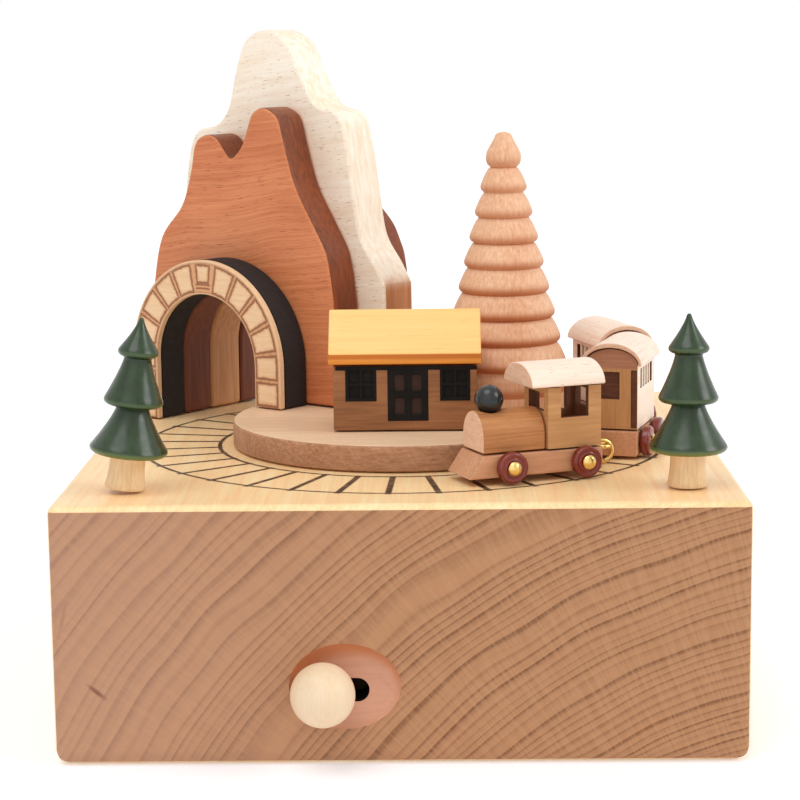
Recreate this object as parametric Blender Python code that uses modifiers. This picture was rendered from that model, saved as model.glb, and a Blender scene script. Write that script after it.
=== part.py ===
"""Wooden music box with a toy train that runs round a station and through a mountain tunnel.

A Blender 4.5 script. Lengths are in metres, +Z is up, and the camera side of the box faces -Y.
Every piece hangs on an empty at the track's axis, which stands at the middle of the box.
"""
import math

import bmesh
import bpy
from mathutils import Matrix, Vector

# Clearances
SEAT_GAP = 0.0003
RUNNING_GAP = 0.0003
DISC_GAP = 0.0018
HOUSE_TREE_GAP = 0.00044
LEVER_WALL_GAP = 0.00275
LEVER_NOTCH_GAP = 0.0025

# Wooden box, hollowed from below
BOX_SIDE = 0.110
BOX_HEIGHT = 0.042
BOX_EDGE = 0.0015
WALL_THICK = 0.009
TOP_THICK = 0.005
RIM_WIDTH = 0.004
COVER_THICK = 0.003
COVER_INSET = 0.001
KEY_OPENING_R = 0.014

# Screws
SCREW_HEAD_R = 0.0022
SCREW_HEAD_THICK = 0.0012
SCREW_CROWN_R = 0.0018
SCREW_SHANK_R = 0.0011
COVER_SCREW_LENGTH = 0.010
MOVEMENT_SCREW_LENGTH = 0.008
COMB_SCREW_LENGTH = 0.004

# Start and stop control in the front face
DISH_WIDTH = 0.0171
DISH_HEIGHT = 0.0136
DISH_DEPTH = 0.0025
DISH_X = -0.0087
DISH_WALL_SLOPE = 0.0009
DISH_RISE = 0.0004
CONTROL_Z = 0.0125
SLOT_HEIGHT = 0.0038
SLOT_DROP = 0.0004
KNOB_R = 0.0051
KNOB_STANDOFF = 0.0034
LEVER_X = -0.0122
LEVER_TRAVEL = 0.005
LEVER_R = 0.0012
LEVER_RISE = 0.0074
LEVER_BEND_R = 0.0015
LEVER_TAIL = 0.00465

# Track and the round platform inside it
TRACK_R = 0.03965
DISC_THICK = 0.0044
DISC_EDGE = 0.0004

# Station
HOUSE_WIDTH = 0.0246
HOUSE_DEPTH = 0.012
HOUSE_WALL_HEIGHT = 0.0112
HOUSE_X = 0.0006
PANE_DEPTH = 0.0005
WINDOW_SIZE = 0.005
WINDOW_DROP = 0.0004
WINDOW_SPREAD = 0.0081
DOOR_WIDTH = 0.007
DOOR_HEIGHT = 0.0092
ROOF_OVERHANG = 0.0008
ROOF_FASCIA = 0.0019
ROOF_RISE = 0.0071
ROOF_EDGE = 0.0002

# Turned natural tree behind the station
TREE_ANGLE = math.radians(16.64)
TREE_TIERS = 9
TREE_SKIRT = 0.0077
TREE_PITCH = 0.0046
TREE_TIP_R = 0.00315
TREE_TIER_GROWTH = 0.00102
TREE_TIP_HEIGHT = 0.0054
TREE_GROOVE = 0.0008
TREE_CROWN_R = 0.0014
TREE_CROWN_DROP = 0.00065
TREE_BEAD_SHOULDER = 0.0013
TREE_BEAD_EDGE = 0.0004
TREE_BEAD_ROUNDING = 0.0002

# Small green trees on the front corners
FIR_SIDE_INSET = 0.0090
FIR_FRONT_INSET = 0.0116
FIR_LEFT_INSET = 0.0108
FIR_LEAN = math.radians(7.4)
FIR_TRUNK_R = 0.0031
FIR_TRUNK_HEIGHT = 0.0064
FIR_TIERS = 3
FIR_TOP_TIER_R = 0.0032
FIR_TIER_GROWTH = 0.0015
FIR_TIER_PITCH = 0.0079
FIR_TIP_HEIGHT = 0.0055
FIR_TIP_R = 0.0004
FIR_SHOULDER_DROP = 0.0047
FIR_SHOULDER_INSET = 0.0016
FIR_LIP = 0.0005
FIR_NECK_R = 0.0022
FIR_NECK_GROWTH = 0.0004

# Tunnel and mountain, a stack of layers turned away from the front
TUNNEL_TURN = math.radians(-38.0)
TUNNEL_ANGLE = math.radians(154.94)
TUNNEL_OUTSET = 0.0015
ARCH_CENTRE = -0.0198
ARCH_SPRING = 0.01235
ARCH_INNER_R = 0.0126
ARCH_OUTER_R = 0.0189
FACADE_THICK = 0.0015
ARCH_THICK = 0.0060
LAYER_THICK = 0.0075
LAYER_EDGE = 0.0006
REAR_EXTRA_OPENING = 0.0047

# Train
RAIL_CLEARANCE = 0.0003
WHEEL_R = 0.0026
WHEEL_THICK = 0.0016
WHEEL_BORE_R = 0.0009
WHEEL_BEAD = 0.0003
PIN_R = 0.0006
PIN_HEAD_R = 0.0012
PIN_HEAD_THICK = 0.0006
PIN_CROWN_R = 0.0007
PIN_CROWN_DROP = 0.00015
CHASSIS_WIDTH = 0.0092
CHASSIS_BOTTOM = 0.0012
CHASSIS_THICK = 0.0037
LOCO_ANGLE = math.radians(-58.0)
LOCO_TOE_IN = math.radians(9.0)
LOCO_REAR = -0.01135
LOCO_NOSE = 0.01265
LOCO_NOSE_SLOPE = 0.00255
LOCO_WHEELBASE = 0.01335
LOCO_WHEEL_SHIFT = -0.0011
BOILER_WIDTH = 0.0082
BOILER_FRONT = 0.0100
BOILER_HEIGHT = 0.0065
CHIMNEY_R = 0.0024
CHIMNEY_X = 0.0071
CHIMNEY_SINK = 0.0007
CAB_FRONT = -0.0014
CAB_LENGTH = 0.0096
CAB_WIDTH = 0.0090
CAB_HEIGHT = 0.0100
CAB_WALL = 0.0010
CAB_SILL = 0.0050
CAB_PILLAR = 0.0023
CAB_ROOF_WIDTH = 0.0112
CAB_ROOF_RISE = 0.0036
CAB_ROOF_FRONT_OVERHANG = 0.0033
CAB_ROOF_REAR_OVERHANG = 0.0003
CAR_ANGLES = (math.radians(-17.0), math.radians(17.0))
CAR_LENGTH = 0.016
CAR_WHEELBASE = 0.0090
CAR_BODY_INSET = 0.0008
CAR_WALL_HEIGHT = 0.0110
CAR_ROOF_WIDTH = 0.0106
CAR_ROOF_RISE = 0.0038
CAR_ROOF_THICK = 0.0008
CAR_WINDOW_DEPTH = 0.0006
CAR_WINDOW_HEIGHT = 0.0034
CAR_PANE_FROM = 0.0025
CAR_PANE_TO = 0.00045
COUPLER_WIRE_R = 0.0004
COUPLER_EYE_R = 0.0014
COUPLER_LINK_SPACING = 0.0018
COUPLER_Z = 0.0032
COUPLER_TURN = 330
COUPLER_STEPS = 14

# Magnets that draw the train through the top
TRAIN_MAGNET_R = 0.0023
TRAIN_MAGNET_THICK = 0.0020
DRIVE_MAGNET_R = 0.0040
DRIVE_MAGNET_THICK = 0.0030

# Spring movement under the top
BEDPLATE_Z = 0.0135
BEDPLATE_THICK = 0.0020
BEDPLATE_LEFT = -0.0170
BEDPLATE_RIGHT = 0.0265
BEDPLATE_FRONT = -0.0402
BEDPLATE_BACK = 0.0170
FOOT_R = 0.0030
FOOT_INSET = 0.0035
LEFT_FRONT_FOOT_INSET = 0.0132
BARREL_R = 0.0120
BARREL_WALL = 0.0010
BARREL_HEIGHT = 0.0110
OUTPUT_SHAFT_R = 0.0020
OUTPUT_SHAFT_PROUD = 0.0006
ARBOR_R = 0.0015
SPRING_TURNS = 6
SPRING_STRIP = 0.0004
CYLINDER_R = 0.0064
CYLINDER_LENGTH = 0.0168
CYLINDER_FRONT_Y = -0.0320
CYLINDER_AXIS_Z = 0.0230
CYLINDER_SHAFT_R = 0.0010
POST_THICK = 0.0012
POST_WIDTH = 0.0040
POST_CROWN = 0.0015
COMB_TEETH = 18
COMB_TOOTH_LENGTH = 0.0105
COMB_DEPTH = 0.0190
COMB_THICK = 0.0010
COMB_REACH_GAP = 0.0005
COMB_SLIT_SHARE = 0.34
COMB_SCREW_SPACING = 0.0090
COMB_SCREW_SETBACK = 0.0045
GOVERNOR_X = -0.0023
GOVERNOR_Y = -0.0386
GOVERNOR_R = 0.0035
GOVERNOR_HEIGHT = 0.0120
GOVERNOR_SHAFT_R = 0.0005
GOVERNOR_POST_GAP = 0.0008
GOVERNOR_BRIDGE_REACH = 0.0010
VANE_THICK = 0.0006
VANE_FOOT = 0.0020
VANE_HEAD = 0.0025
ARM_WIDTH = 0.0080
ARM_THICK = 0.0020
ARM_HUB_R = 0.0050
ARM_HUB_GAP = 0.0012
ARM_TAIL = 0.0100
KEY_SPAN = 0.022
KEY_WING_HEIGHT = 0.0070
KEY_WING_THICK = 0.0022
KEY_FLOOR_GAP = 0.0012
KEY_SLEEVE_R = 0.0026
KEY_SLEEVE_FOOT = 0.0021

# Places that follow from the sizes above
HALF_BOX = BOX_SIDE / 2
KNOB_REACH = KNOB_STANDOFF + KNOB_R
TRACK_AXIS_Y = KNOB_REACH / 2
COVER_TOP = COVER_INSET + COVER_THICK
CEILING_Z = BOX_HEIGHT - TOP_THICK
DISC_TOP = SEAT_GAP + DISC_THICK
ON_DISC = DISC_TOP + SEAT_GAP
HOUSE_FLOOR = BOX_HEIGHT + ON_DISC
CHASSIS_TOP = CHASSIS_BOTTOM + CHASSIS_THICK
ON_CHASSIS = CHASSIS_TOP + SEAT_GAP
WHEEL_AXIS_Z = RAIL_CLEARANCE + WHEEL_R
WHEEL_INNER_Y = CHASSIS_WIDTH / 2 + RUNNING_GAP
PIN_HEAD_Y = WHEEL_INNER_Y + WHEEL_THICK + RUNNING_GAP
TRAIN_HALF_WIDTH = PIN_HEAD_Y + PIN_HEAD_THICK
DISC_R = TRACK_R - TRAIN_HALF_WIDTH - DISC_GAP
TREE_BASE_R = TREE_TIP_R + (TREE_TIERS - 1) * TREE_TIER_GROWTH
TREE_X = (DISC_R - TREE_BASE_R) * math.cos(TREE_ANGLE)
TREE_Y = (DISC_R - TREE_BASE_R) * math.sin(TREE_ANGLE)
ROOF_HALF_WIDTH = HOUSE_WIDTH / 2 + ROOF_OVERHANG
ROOF_HALF_DEPTH = HOUSE_DEPTH / 2 + ROOF_OVERHANG
TREE_AT_EAVES_R = TREE_BASE_R - TREE_TIER_GROWTH + HOUSE_TREE_GAP
TREE_TO_ROOF_X = TREE_X - HOUSE_X - ROOF_HALF_WIDTH
HOUSE_Y = TREE_Y - math.sqrt(TREE_AT_EAVES_R ** 2 - TREE_TO_ROOF_X ** 2) - ROOF_HALF_DEPTH
TUNNEL_FOOT_X = (TRACK_R + TUNNEL_OUTSET) * math.cos(TUNNEL_ANGLE) - ARCH_CENTRE * math.cos(TUNNEL_TURN)
TUNNEL_FOOT_Y = (TRACK_R + TUNNEL_OUTSET) * math.sin(TUNNEL_ANGLE) - ARCH_CENTRE * math.sin(TUNNEL_TURN)
LEVER_RISE_Y = -HALF_BOX + WALL_THICK + LEVER_WALL_GAP
FOOT_POSITIONS = [(BEDPLATE_LEFT + FOOT_INSET, BEDPLATE_BACK - FOOT_INSET),
                  (BEDPLATE_RIGHT - FOOT_INSET, BEDPLATE_BACK - FOOT_INSET),
                  (BEDPLATE_RIGHT - FOOT_INSET, BEDPLATE_FRONT + FOOT_INSET),
                  (BEDPLATE_LEFT + FOOT_INSET, BEDPLATE_FRONT + LEFT_FRONT_FOOT_INSET)]
PLATE_TOP = BEDPLATE_Z + BEDPLATE_THICK
BARREL_BOTTOM = PLATE_TOP + RUNNING_GAP
BARREL_TOP = BARREL_BOTTOM + BARREL_HEIGHT
ARM_TOP = CEILING_Z - RUNNING_GAP - DRIVE_MAGNET_THICK - SEAT_GAP
SHAFT_TOP = ARM_TOP + OUTPUT_SHAFT_PROUD
CYLINDER_BACK_Y = CYLINDER_FRONT_Y + CYLINDER_LENGTH
COMB_Z = CYLINDER_AXIS_Z
COMB_ROOT_X = CYLINDER_R + COMB_REACH_GAP + COMB_DEPTH
SCREW_HOLE_R = SCREW_SHANK_R + SEAT_GAP
HEAD_POCKET_R = SCREW_HEAD_R + SEAT_GAP
HEAD_POCKET_DEPTH = SCREW_HEAD_THICK + SEAT_GAP

# Mountain outlines in steps of a millimetre: across the layer, and up from the box top.
# Each runs from the left foot over the peaks to the right foot.
OUTLINE_STEP = 0.001
FRONT_LAYER = [(-42.0, 12.0), (-40.5, 24.4), (-38.2, 34.2), (-32.6, 40.5), (-29.8, 46.9), (-28.3, 52.2),
               (-24.8, 54.2), (-21.6, 52.0), (-20.1, 50.2), (-17.1, 51.7), (-14.9, 55.4), (-12.1, 58.8),
               (-8.5, 58.5), (-6.0, 51.9), (-3.2, 44.8), (0.9, 38.1), (4.1, 32.5), (5.6, 24.3)]
MIDDLE_LAYER = [(-40.5, 20.0), (-39.0, 38.0), (-37.2, 50.0), (-34.7, 54.4), (-29.9, 55.6), (-26.7, 58.7),
                (-24.9, 64.3), (-22.0, 71.2), (-16.6, 73.4), (-11.2, 70.8), (-7.9, 64.7), (-4.2, 59.6),
                (1.1, 57.8), (3.1, 51.8), (4.6, 42.8), (6.1, 35.6), (9.5, 30.7), (11.7, 27.0)]
REAR_LAYER = [(-40.0, 18.0), (-37.0, 31.0), (-31.0, 42.0), (-25.0, 47.0), (-19.0, 52.0), (-12.0, 52.0),
              (-6.5, 47.0), (-2.5, 42.0), (0.7, 38.9), (2.6, 36.7), (4.0, 33.9), (4.9, 31.7), (5.5, 28.5)]
LEFT_FEET = (-42.0, -40.5, -40.0)
RIGHT_FEET = (6.4, 12.0, 6.0)

# Colours of the finished surfaces
BEECH = (0.80, 0.56, 0.36)
PALE_BEECH = (0.86, 0.66, 0.48)
RED_WOOD = (0.52, 0.24, 0.12)
BEIGE_WOOD = (0.84, 0.68, 0.52)
CREAM_WOOD = (0.86, 0.74, 0.56)
TAN_WOOD = (0.62, 0.40, 0.24)
YELLOW_STAIN = (0.93, 0.66, 0.24)
DARK_GREEN = (0.03, 0.12, 0.07)
BLACK_PAINT = (0.02, 0.02, 0.02)
WHEEL_RED = (0.25, 0.03, 0.02)
BRASS = (0.75, 0.55, 0.22)
STEEL = (0.60, 0.60, 0.62)
DARK_STEEL = (0.28, 0.29, 0.32)
CAST_GREY = (0.45, 0.45, 0.46)
PLY = (0.72, 0.56, 0.38)
ARM_WHITE = (0.75, 0.74, 0.70)

parts = bpy.data.collections.new("wooden_train_music_box")
cutters = bpy.data.collections.new("cutters")


def material(name, colour, roughness, metallic=0.0):
    """Return the material of that name, made on first use."""
    if name in bpy.data.materials:
        return bpy.data.materials[name]
    made = bpy.data.materials.new(name)
    made.use_nodes = True
    shader = made.node_tree.nodes["Principled BSDF"]
    shader.inputs["Base Color"].default_value = (*colour, 1.0)
    shader.inputs["Roughness"].default_value = roughness
    shader.inputs["Metallic"].default_value = metallic
    return made


def empty(name, parent, location=(0, 0, 0), turn=0.0):
    """Add an empty that carries a group of pieces."""
    holder = bpy.data.objects.new(name, None)
    holder.location = location
    holder.rotation_euler = (0, 0, turn)
    holder.parent = parent
    parts.objects.link(holder)
    return holder


def add(name, mesh, parent, location=(0, 0, 0), rotation=(0, 0, 0), finish=None, smooth=False):
    """Link a mesh as one named piece, or as a cutter when it has no finish."""
    piece = bpy.data.objects.new(name, mesh)
    piece.location = location
    piece.rotation_euler = rotation
    piece.parent = parent
    if finish is None:
        cutters.objects.link(piece)
        piece.hide_render = True
        piece.display_type = "WIRE"
    else:
        parts.objects.link(piece)
        mesh.materials.append(finish)
    if smooth:
        mesh.shade_smooth()
        mesh.set_sharp_from_angle(angle=math.radians(35))
    return piece


def box_mesh(name, low, high):
    """A box between two corners."""
    shape = bmesh.new()
    bmesh.ops.create_cube(shape, size=1.0)
    size = Vector(high) - Vector(low)
    middle = (Vector(high) + Vector(low)) / 2
    bmesh.ops.scale(shape, vec=size, verts=shape.verts)
    bmesh.ops.translate(shape, vec=middle, verts=shape.verts)
    mesh = bpy.data.meshes.new(name)
    shape.to_mesh(mesh)
    shape.free()
    return mesh


def cylinder_mesh(name, radius, low, high, sides=24, top_radius=None):
    """An upright cylinder or cone from low to high."""
    shape = bmesh.new()
    bmesh.ops.create_cone(shape, cap_ends=True, segments=sides, radius1=radius,
                          radius2=radius if top_radius is None else top_radius, depth=high - low)
    bmesh.ops.translate(shape, vec=(0, 0, (high + low) / 2), verts=shape.verts)
    mesh = bpy.data.meshes.new(name)
    shape.to_mesh(mesh)
    shape.free()
    return mesh


def ball_mesh(name, radius, segments=16, rings=10):
    """A ball round the origin."""
    shape = bmesh.new()
    bmesh.ops.create_uvsphere(shape, u_segments=segments, v_segments=rings, radius=radius)
    mesh = bpy.data.meshes.new(name)
    shape.to_mesh(mesh)
    shape.free()
    return mesh


def turned(name, profile, steps, parent, location=(0, 0, 0), rotation=(0, 0, 0), finish=None, ring=False):
    """A turned piece: a profile of (radius, height), outer side first and downwards, swept round Z."""
    points = [(radius, 0, height) for radius, height in profile]
    edges = [(i, i + 1) for i in range(len(points) - 1)]
    if ring:
        edges.append((len(points) - 1, 0))
    mesh = bpy.data.meshes.new(name)
    mesh.from_pydata(points, edges, [])
    piece = add(name, mesh, parent, location, rotation, finish)
    sweep = piece.modifiers.new("sweep", "SCREW")
    sweep.steps = steps
    sweep.render_steps = steps
    sweep.use_merge_vertices = True
    sweep.merge_threshold = 0.00001
    return piece


def solid_mesh(curve_object):
    """The evaluated curve as one welded mesh. The curve is removed."""
    bpy.context.scene.collection.objects.link(curve_object)
    graph = bpy.context.evaluated_depsgraph_get()
    mesh = bpy.data.meshes.new_from_object(curve_object.evaluated_get(graph))
    shape = bmesh.new()
    shape.from_mesh(mesh)
    bmesh.ops.remove_doubles(shape, verts=shape.verts, dist=0.000002)
    shape.to_mesh(mesh)
    shape.free()
    bpy.data.objects.remove(curve_object)
    return mesh


def outline_mesh(name, points, thickness, soft=None, resolution=3):
    """A flat outline with a thickness. Points whose place is in soft are joined by a smooth curve."""
    curve = bpy.data.curves.new(name, "CURVE")
    curve.dimensions = "2D"
    curve.fill_mode = "BOTH"
    curve.extrude = thickness / 2
    curve.resolution_u = resolution
    spline = curve.splines.new("BEZIER")
    spline.bezier_points.add(len(points) - 1)
    for place, (point, (x, y)) in enumerate(zip(spline.bezier_points, points)):
        point.co = (x, y, 0)
        kind = "AUTO" if soft and place in soft else "VECTOR"
        point.handle_left_type = kind
        point.handle_right_type = kind
    spline.use_cyclic_u = True
    return solid_mesh(bpy.data.objects.new(name, curve))


def polygon_mesh(name, points, thickness):
    """A flat straight-edged outline with a thickness."""
    curve = bpy.data.curves.new(name, "CURVE")
    curve.dimensions = "2D"
    curve.fill_mode = "BOTH"
    curve.extrude = thickness / 2
    spline = curve.splines.new("POLY")
    spline.points.add(len(points) - 1)
    for point, (x, y) in zip(spline.points, points):
        point.co = (x, y, 0, 1)
    spline.use_cyclic_u = True
    return solid_mesh(bpy.data.objects.new(name, curve))


def tube_mesh(name, points, radius, sides_level=2):
    """A round wire through the points, with closed ends."""
    curve = bpy.data.curves.new(name, "CURVE")
    curve.dimensions = "3D"
    curve.bevel_depth = radius
    curve.bevel_resolution = sides_level
    curve.use_fill_caps = True
    spline = curve.splines.new("POLY")
    spline.points.add(len(points) - 1)
    for point, place in zip(spline.points, points):
        point.co = (*place, 1)
    return solid_mesh(bpy.data.objects.new(name, curve))


UPRIGHT = (math.pi / 2, 0, 0)
CROSSWISE = (math.pi / 2, 0, math.pi / 2)


def arc(centre_x, centre_y, radius, start, end, count):
    """Points on an arc, angles in degrees."""
    spread = [math.radians(start + (end - start) * i / (count - 1)) for i in range(count)]
    return [(centre_x + radius * math.cos(a), centre_y + radius * math.sin(a)) for a in spread]


def combine(piece, other, operation="DIFFERENCE"):
    """Cut another shape out of a piece, or join it on."""
    step = piece.modifiers.new(operation.lower(), "BOOLEAN")
    step.operation = operation
    step.object = other
    return piece


def bevel(piece, width, segments=1):
    """Round a piece's sharp edges."""
    step = piece.modifiers.new("edges", "BEVEL")
    step.width = width
    step.segments = segments
    step.limit_method = "ANGLE"
    step.angle_limit = math.radians(40)
    return piece


def make_base_block(axis):
    """The wooden box: hollowed from below, with a rebate for the cover and the control's dish and slot."""
    low = (-HALF_BOX, -HALF_BOX, 0)
    high = (HALF_BOX, HALF_BOX, BOX_HEIGHT)
    wood = material("beech_box", BEECH, 0.55)
    block = bevel(add("base_block", box_mesh("base_block", low, high), axis, finish=wood), BOX_EDGE, 2)
    rebate = HALF_BOX - RIM_WIDTH
    rebate_top = COVER_TOP + SEAT_GAP
    rebate_mesh = box_mesh("cover_rebate", (-rebate, -rebate, -BOX_EDGE), (rebate, rebate, rebate_top))
    combine(block, add("cover_rebate", rebate_mesh, axis))
    hollow = HALF_BOX - WALL_THICK
    hollow_mesh = box_mesh("hollow", (-hollow, -hollow, 0), (hollow, hollow, CEILING_Z))
    combine(block, add("hollow", hollow_mesh, axis))
    dish_mesh = cylinder_mesh("dish", DISH_WIDTH / 2 - DISH_WALL_SLOPE, 0, DISH_DEPTH * 2, 36,
                              DISH_WIDTH / 2 + DISH_WALL_SLOPE)
    dish = add("dish", dish_mesh, axis, (DISH_X, -HALF_BOX + DISH_DEPTH, CONTROL_Z + DISH_RISE), UPRIGHT)
    dish.scale = (1, DISH_HEIGHT / DISH_WIDTH, 1)
    combine(block, dish)
    end_r = SLOT_HEIGHT / 2
    outline = arc(LEVER_X + LEVER_TRAVEL, 0, end_r, -90, 90, 9) + arc(LEVER_X, 0, end_r, 90, 270, 9)
    slot_mesh = polygon_mesh("lever_slot", outline, WALL_THICK * 2)
    combine(block, add("lever_slot", slot_mesh, axis, (0, -HALF_BOX + WALL_THICK, CONTROL_Z - SLOT_DROP),
                       UPRIGHT))
    for number, (x, y) in enumerate(cover_screw_places(), 1):
        hole_top = COVER_INSET + COVER_SCREW_LENGTH + SEAT_GAP
        hole = cylinder_mesh("pilot_hole", SCREW_HOLE_R, COVER_INSET, hole_top, 12)
        combine(block, add(f"pilot_hole_{number}", hole, axis, (x, y, 0)))


def cover_screw_places():
    """The cover's corners, over the middle of the box's ledge."""
    reach = HALF_BOX - (RIM_WIDTH + WALL_THICK) / 2
    return [(-reach, -reach), (reach, -reach), (reach, reach), (-reach, reach)]


def movement_screw_places():
    """Two of the movement's feet are screwed to the cover."""
    return [FOOT_POSITIONS[1], FOOT_POSITIONS[3]]


def make_bottom_cover(axis):
    """Thin board let into the underside, with a round opening for the winding key."""
    half = HALF_BOX - RIM_WIDTH - SEAT_GAP
    board = box_mesh("bottom_cover", (-half, -half, COVER_INSET), (half, half, COVER_TOP))
    cover = add("bottom_cover", board, axis, finish=material("plywood", PLY, 0.7))
    below = COVER_INSET - COVER_THICK
    above = COVER_TOP + COVER_THICK
    combine(cover, add("key_opening", cylinder_mesh("key_opening", KEY_OPENING_R, below, above, 28), axis))
    for number, (x, y) in enumerate(cover_screw_places() + movement_screw_places(), 1):
        hole = cylinder_mesh("cover_hole", SCREW_HOLE_R, below, above, 8)
        pocket = cylinder_mesh("head_pocket", HEAD_POCKET_R, below, COVER_INSET + HEAD_POCKET_DEPTH, 12)
        combine(cover, add(f"cover_hole_{number}", hole, axis, (x, y, 0)))
        combine(cover, add(f"head_pocket_{number}", pocket, axis, (x, y, 0)))


def screw(name, axis, x, y, head_face, length, pointing_up, colour_name, colour):
    """A round-headed screw. Its head's outer face is at head_face, and it points up or down from there."""
    profile = [(0, 0), (SCREW_CROWN_R, 0), (SCREW_HEAD_R, -SCREW_HEAD_THICK / 3),
               (SCREW_HEAD_R, -SCREW_HEAD_THICK), (SCREW_SHANK_R, -SCREW_HEAD_THICK),
               (SCREW_SHANK_R, -length + SCREW_SHANK_R), (SCREW_SHANK_R / 3, -length), (0, -length)]
    flip = (math.pi, 0, 0) if pointing_up else (0, 0, 0)
    turned(name, profile, 12, axis, (x, y, head_face), flip, material(colour_name, colour, 0.35, 1.0))


def make_platform(axis):
    """Round wooden platform inside the track."""
    top = BOX_HEIGHT + DISC_TOP
    bottom = BOX_HEIGHT + SEAT_GAP
    profile = [(0, top), (DISC_R - DISC_EDGE, top), (DISC_R, top - DISC_EDGE), (DISC_R, bottom), (0, bottom)]
    turned("platform_disc", profile, 56, axis, finish=material("pale_beech", PALE_BEECH, 0.6))


def make_house(axis):
    """Station: a block with let-in windows and door, and a gabled roof block."""
    half = HOUSE_WIDTH / 2
    front = HOUSE_Y - HOUSE_DEPTH / 2
    wall_top = HOUSE_FLOOR + HOUSE_WALL_HEIGHT
    low = (HOUSE_X - half, front, HOUSE_FLOOR)
    high = (HOUSE_X + half, HOUSE_Y + HOUSE_DEPTH / 2, wall_top)
    house = add("station_house", box_mesh("station_house", low, high), axis,
                finish=material("tan_wood", TAN_WOOD, 0.6))
    pane_top = wall_top - WINDOW_DROP
    openings = [(-WINDOW_SPREAD, WINDOW_SIZE, WINDOW_SIZE), (0, DOOR_WIDTH, DOOR_HEIGHT),
                (WINDOW_SPREAD, WINDOW_SIZE, WINDOW_SIZE)]
    for number, (shift, width, height) in enumerate(openings, 1):
        x = HOUSE_X + shift
        pane = box_mesh("pane", (x - width / 2, front - PANE_DEPTH, pane_top - height),
                        (x + width / 2, front + PANE_DEPTH, pane_top))
        combine(house, add(f"pane_{number}", pane, axis))
    profile = [(-ROOF_HALF_DEPTH, 0), (ROOF_HALF_DEPTH, 0), (ROOF_HALF_DEPTH, ROOF_FASCIA),
               (0, ROOF_FASCIA + ROOF_RISE), (-ROOF_HALF_DEPTH, ROOF_FASCIA)]
    roof_mesh = polygon_mesh("house_roof", profile, 2 * ROOF_HALF_WIDTH)
    roof = add("house_roof", roof_mesh, axis, (HOUSE_X, HOUSE_Y, wall_top + SEAT_GAP), CROSSWISE,
               material("yellow_stain", YELLOW_STAIN, 0.4))
    bevel(roof, ROOF_EDGE)


def make_turned_tree(axis):
    """Natural turned tree: a cone of beads with a groove under each."""
    profile = [(0, 0), (TREE_CROWN_R, -TREE_CROWN_DROP)]
    for tier in range(TREE_TIERS):
        radius = TREE_TIP_R + tier * TREE_TIER_GROWTH
        edge = -TREE_TIP_HEIGHT - tier * TREE_PITCH
        profile.append((radius - TREE_BEAD_ROUNDING, edge + TREE_BEAD_SHOULDER))
        profile.append((radius, edge + TREE_BEAD_EDGE))
        profile.append((radius - TREE_GROOVE, edge - TREE_BEAD_EDGE))
    height = TREE_TIP_HEIGHT + (TREE_TIERS - 1) * TREE_PITCH + TREE_SKIRT
    foot_radius = TREE_BASE_R - TREE_GROOVE / 2
    profile += [(foot_radius, -height), (0, -height)]
    turned("turned_tree", profile, 24, axis, (TREE_X, TREE_Y, HOUSE_FLOOR + height),
           finish=material("turned_beech", PALE_BEECH, 0.5))


def make_green_tree(name, axis, x, lean):
    """Small turned tree: three tiers on a trunk, one piece of wood."""
    height = FIR_TRUNK_HEIGHT + (FIR_TIERS - 1) * FIR_TIER_PITCH + FIR_TIP_HEIGHT
    profile = [(0, height), (FIR_TIP_R, height - FIR_TIP_R / 2)]
    for tier in range(FIR_TIERS):
        radius = FIR_TOP_TIER_R + tier * FIR_TIER_GROWTH
        edge = FIR_TRUNK_HEIGHT + (FIR_TIERS - 1 - tier) * FIR_TIER_PITCH
        shoulder = edge + FIR_TIER_PITCH - FIR_SHOULDER_DROP
        profile.append((radius - FIR_SHOULDER_INSET, shoulder))
        profile.append((radius, edge))
        profile.append((radius - FIR_LIP / 2, edge - FIR_LIP))
        profile.append((FIR_NECK_R + tier * FIR_NECK_GROWTH, edge - 2 * FIR_LIP))
    profile += [(FIR_TRUNK_R, 0), (0, 0)]
    lift = SEAT_GAP + FIR_TRUNK_R * math.sin(abs(lean))
    place = (x, FIR_FRONT_INSET - HALF_BOX, BOX_HEIGHT + lift)
    turned(name, profile, 18, axis, place, (0, lean, 0), material("green_paint", DARK_GREEN, 0.25))


def arch_opening(left, right, right_foot):
    """Outline of a tunnel opening, from its right foot over the crown to its left foot."""
    centre = (left + right) / 2
    radius = (right - left) / 2
    crown = arc(centre, ARCH_SPRING, radius, 0, 180, 9)
    return [(right, right_foot)] + crown + [(left, SEAT_GAP)]


def stand_up(name, frame, points, soft, thickness, front, finish):
    """Stand a flat layer on the box, its front face at the given depth."""
    mesh = outline_mesh(name, points, thickness, soft)
    return add(name, mesh, frame, (0, front + thickness / 2, BOX_HEIGHT), UPRIGHT, finish)


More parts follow.
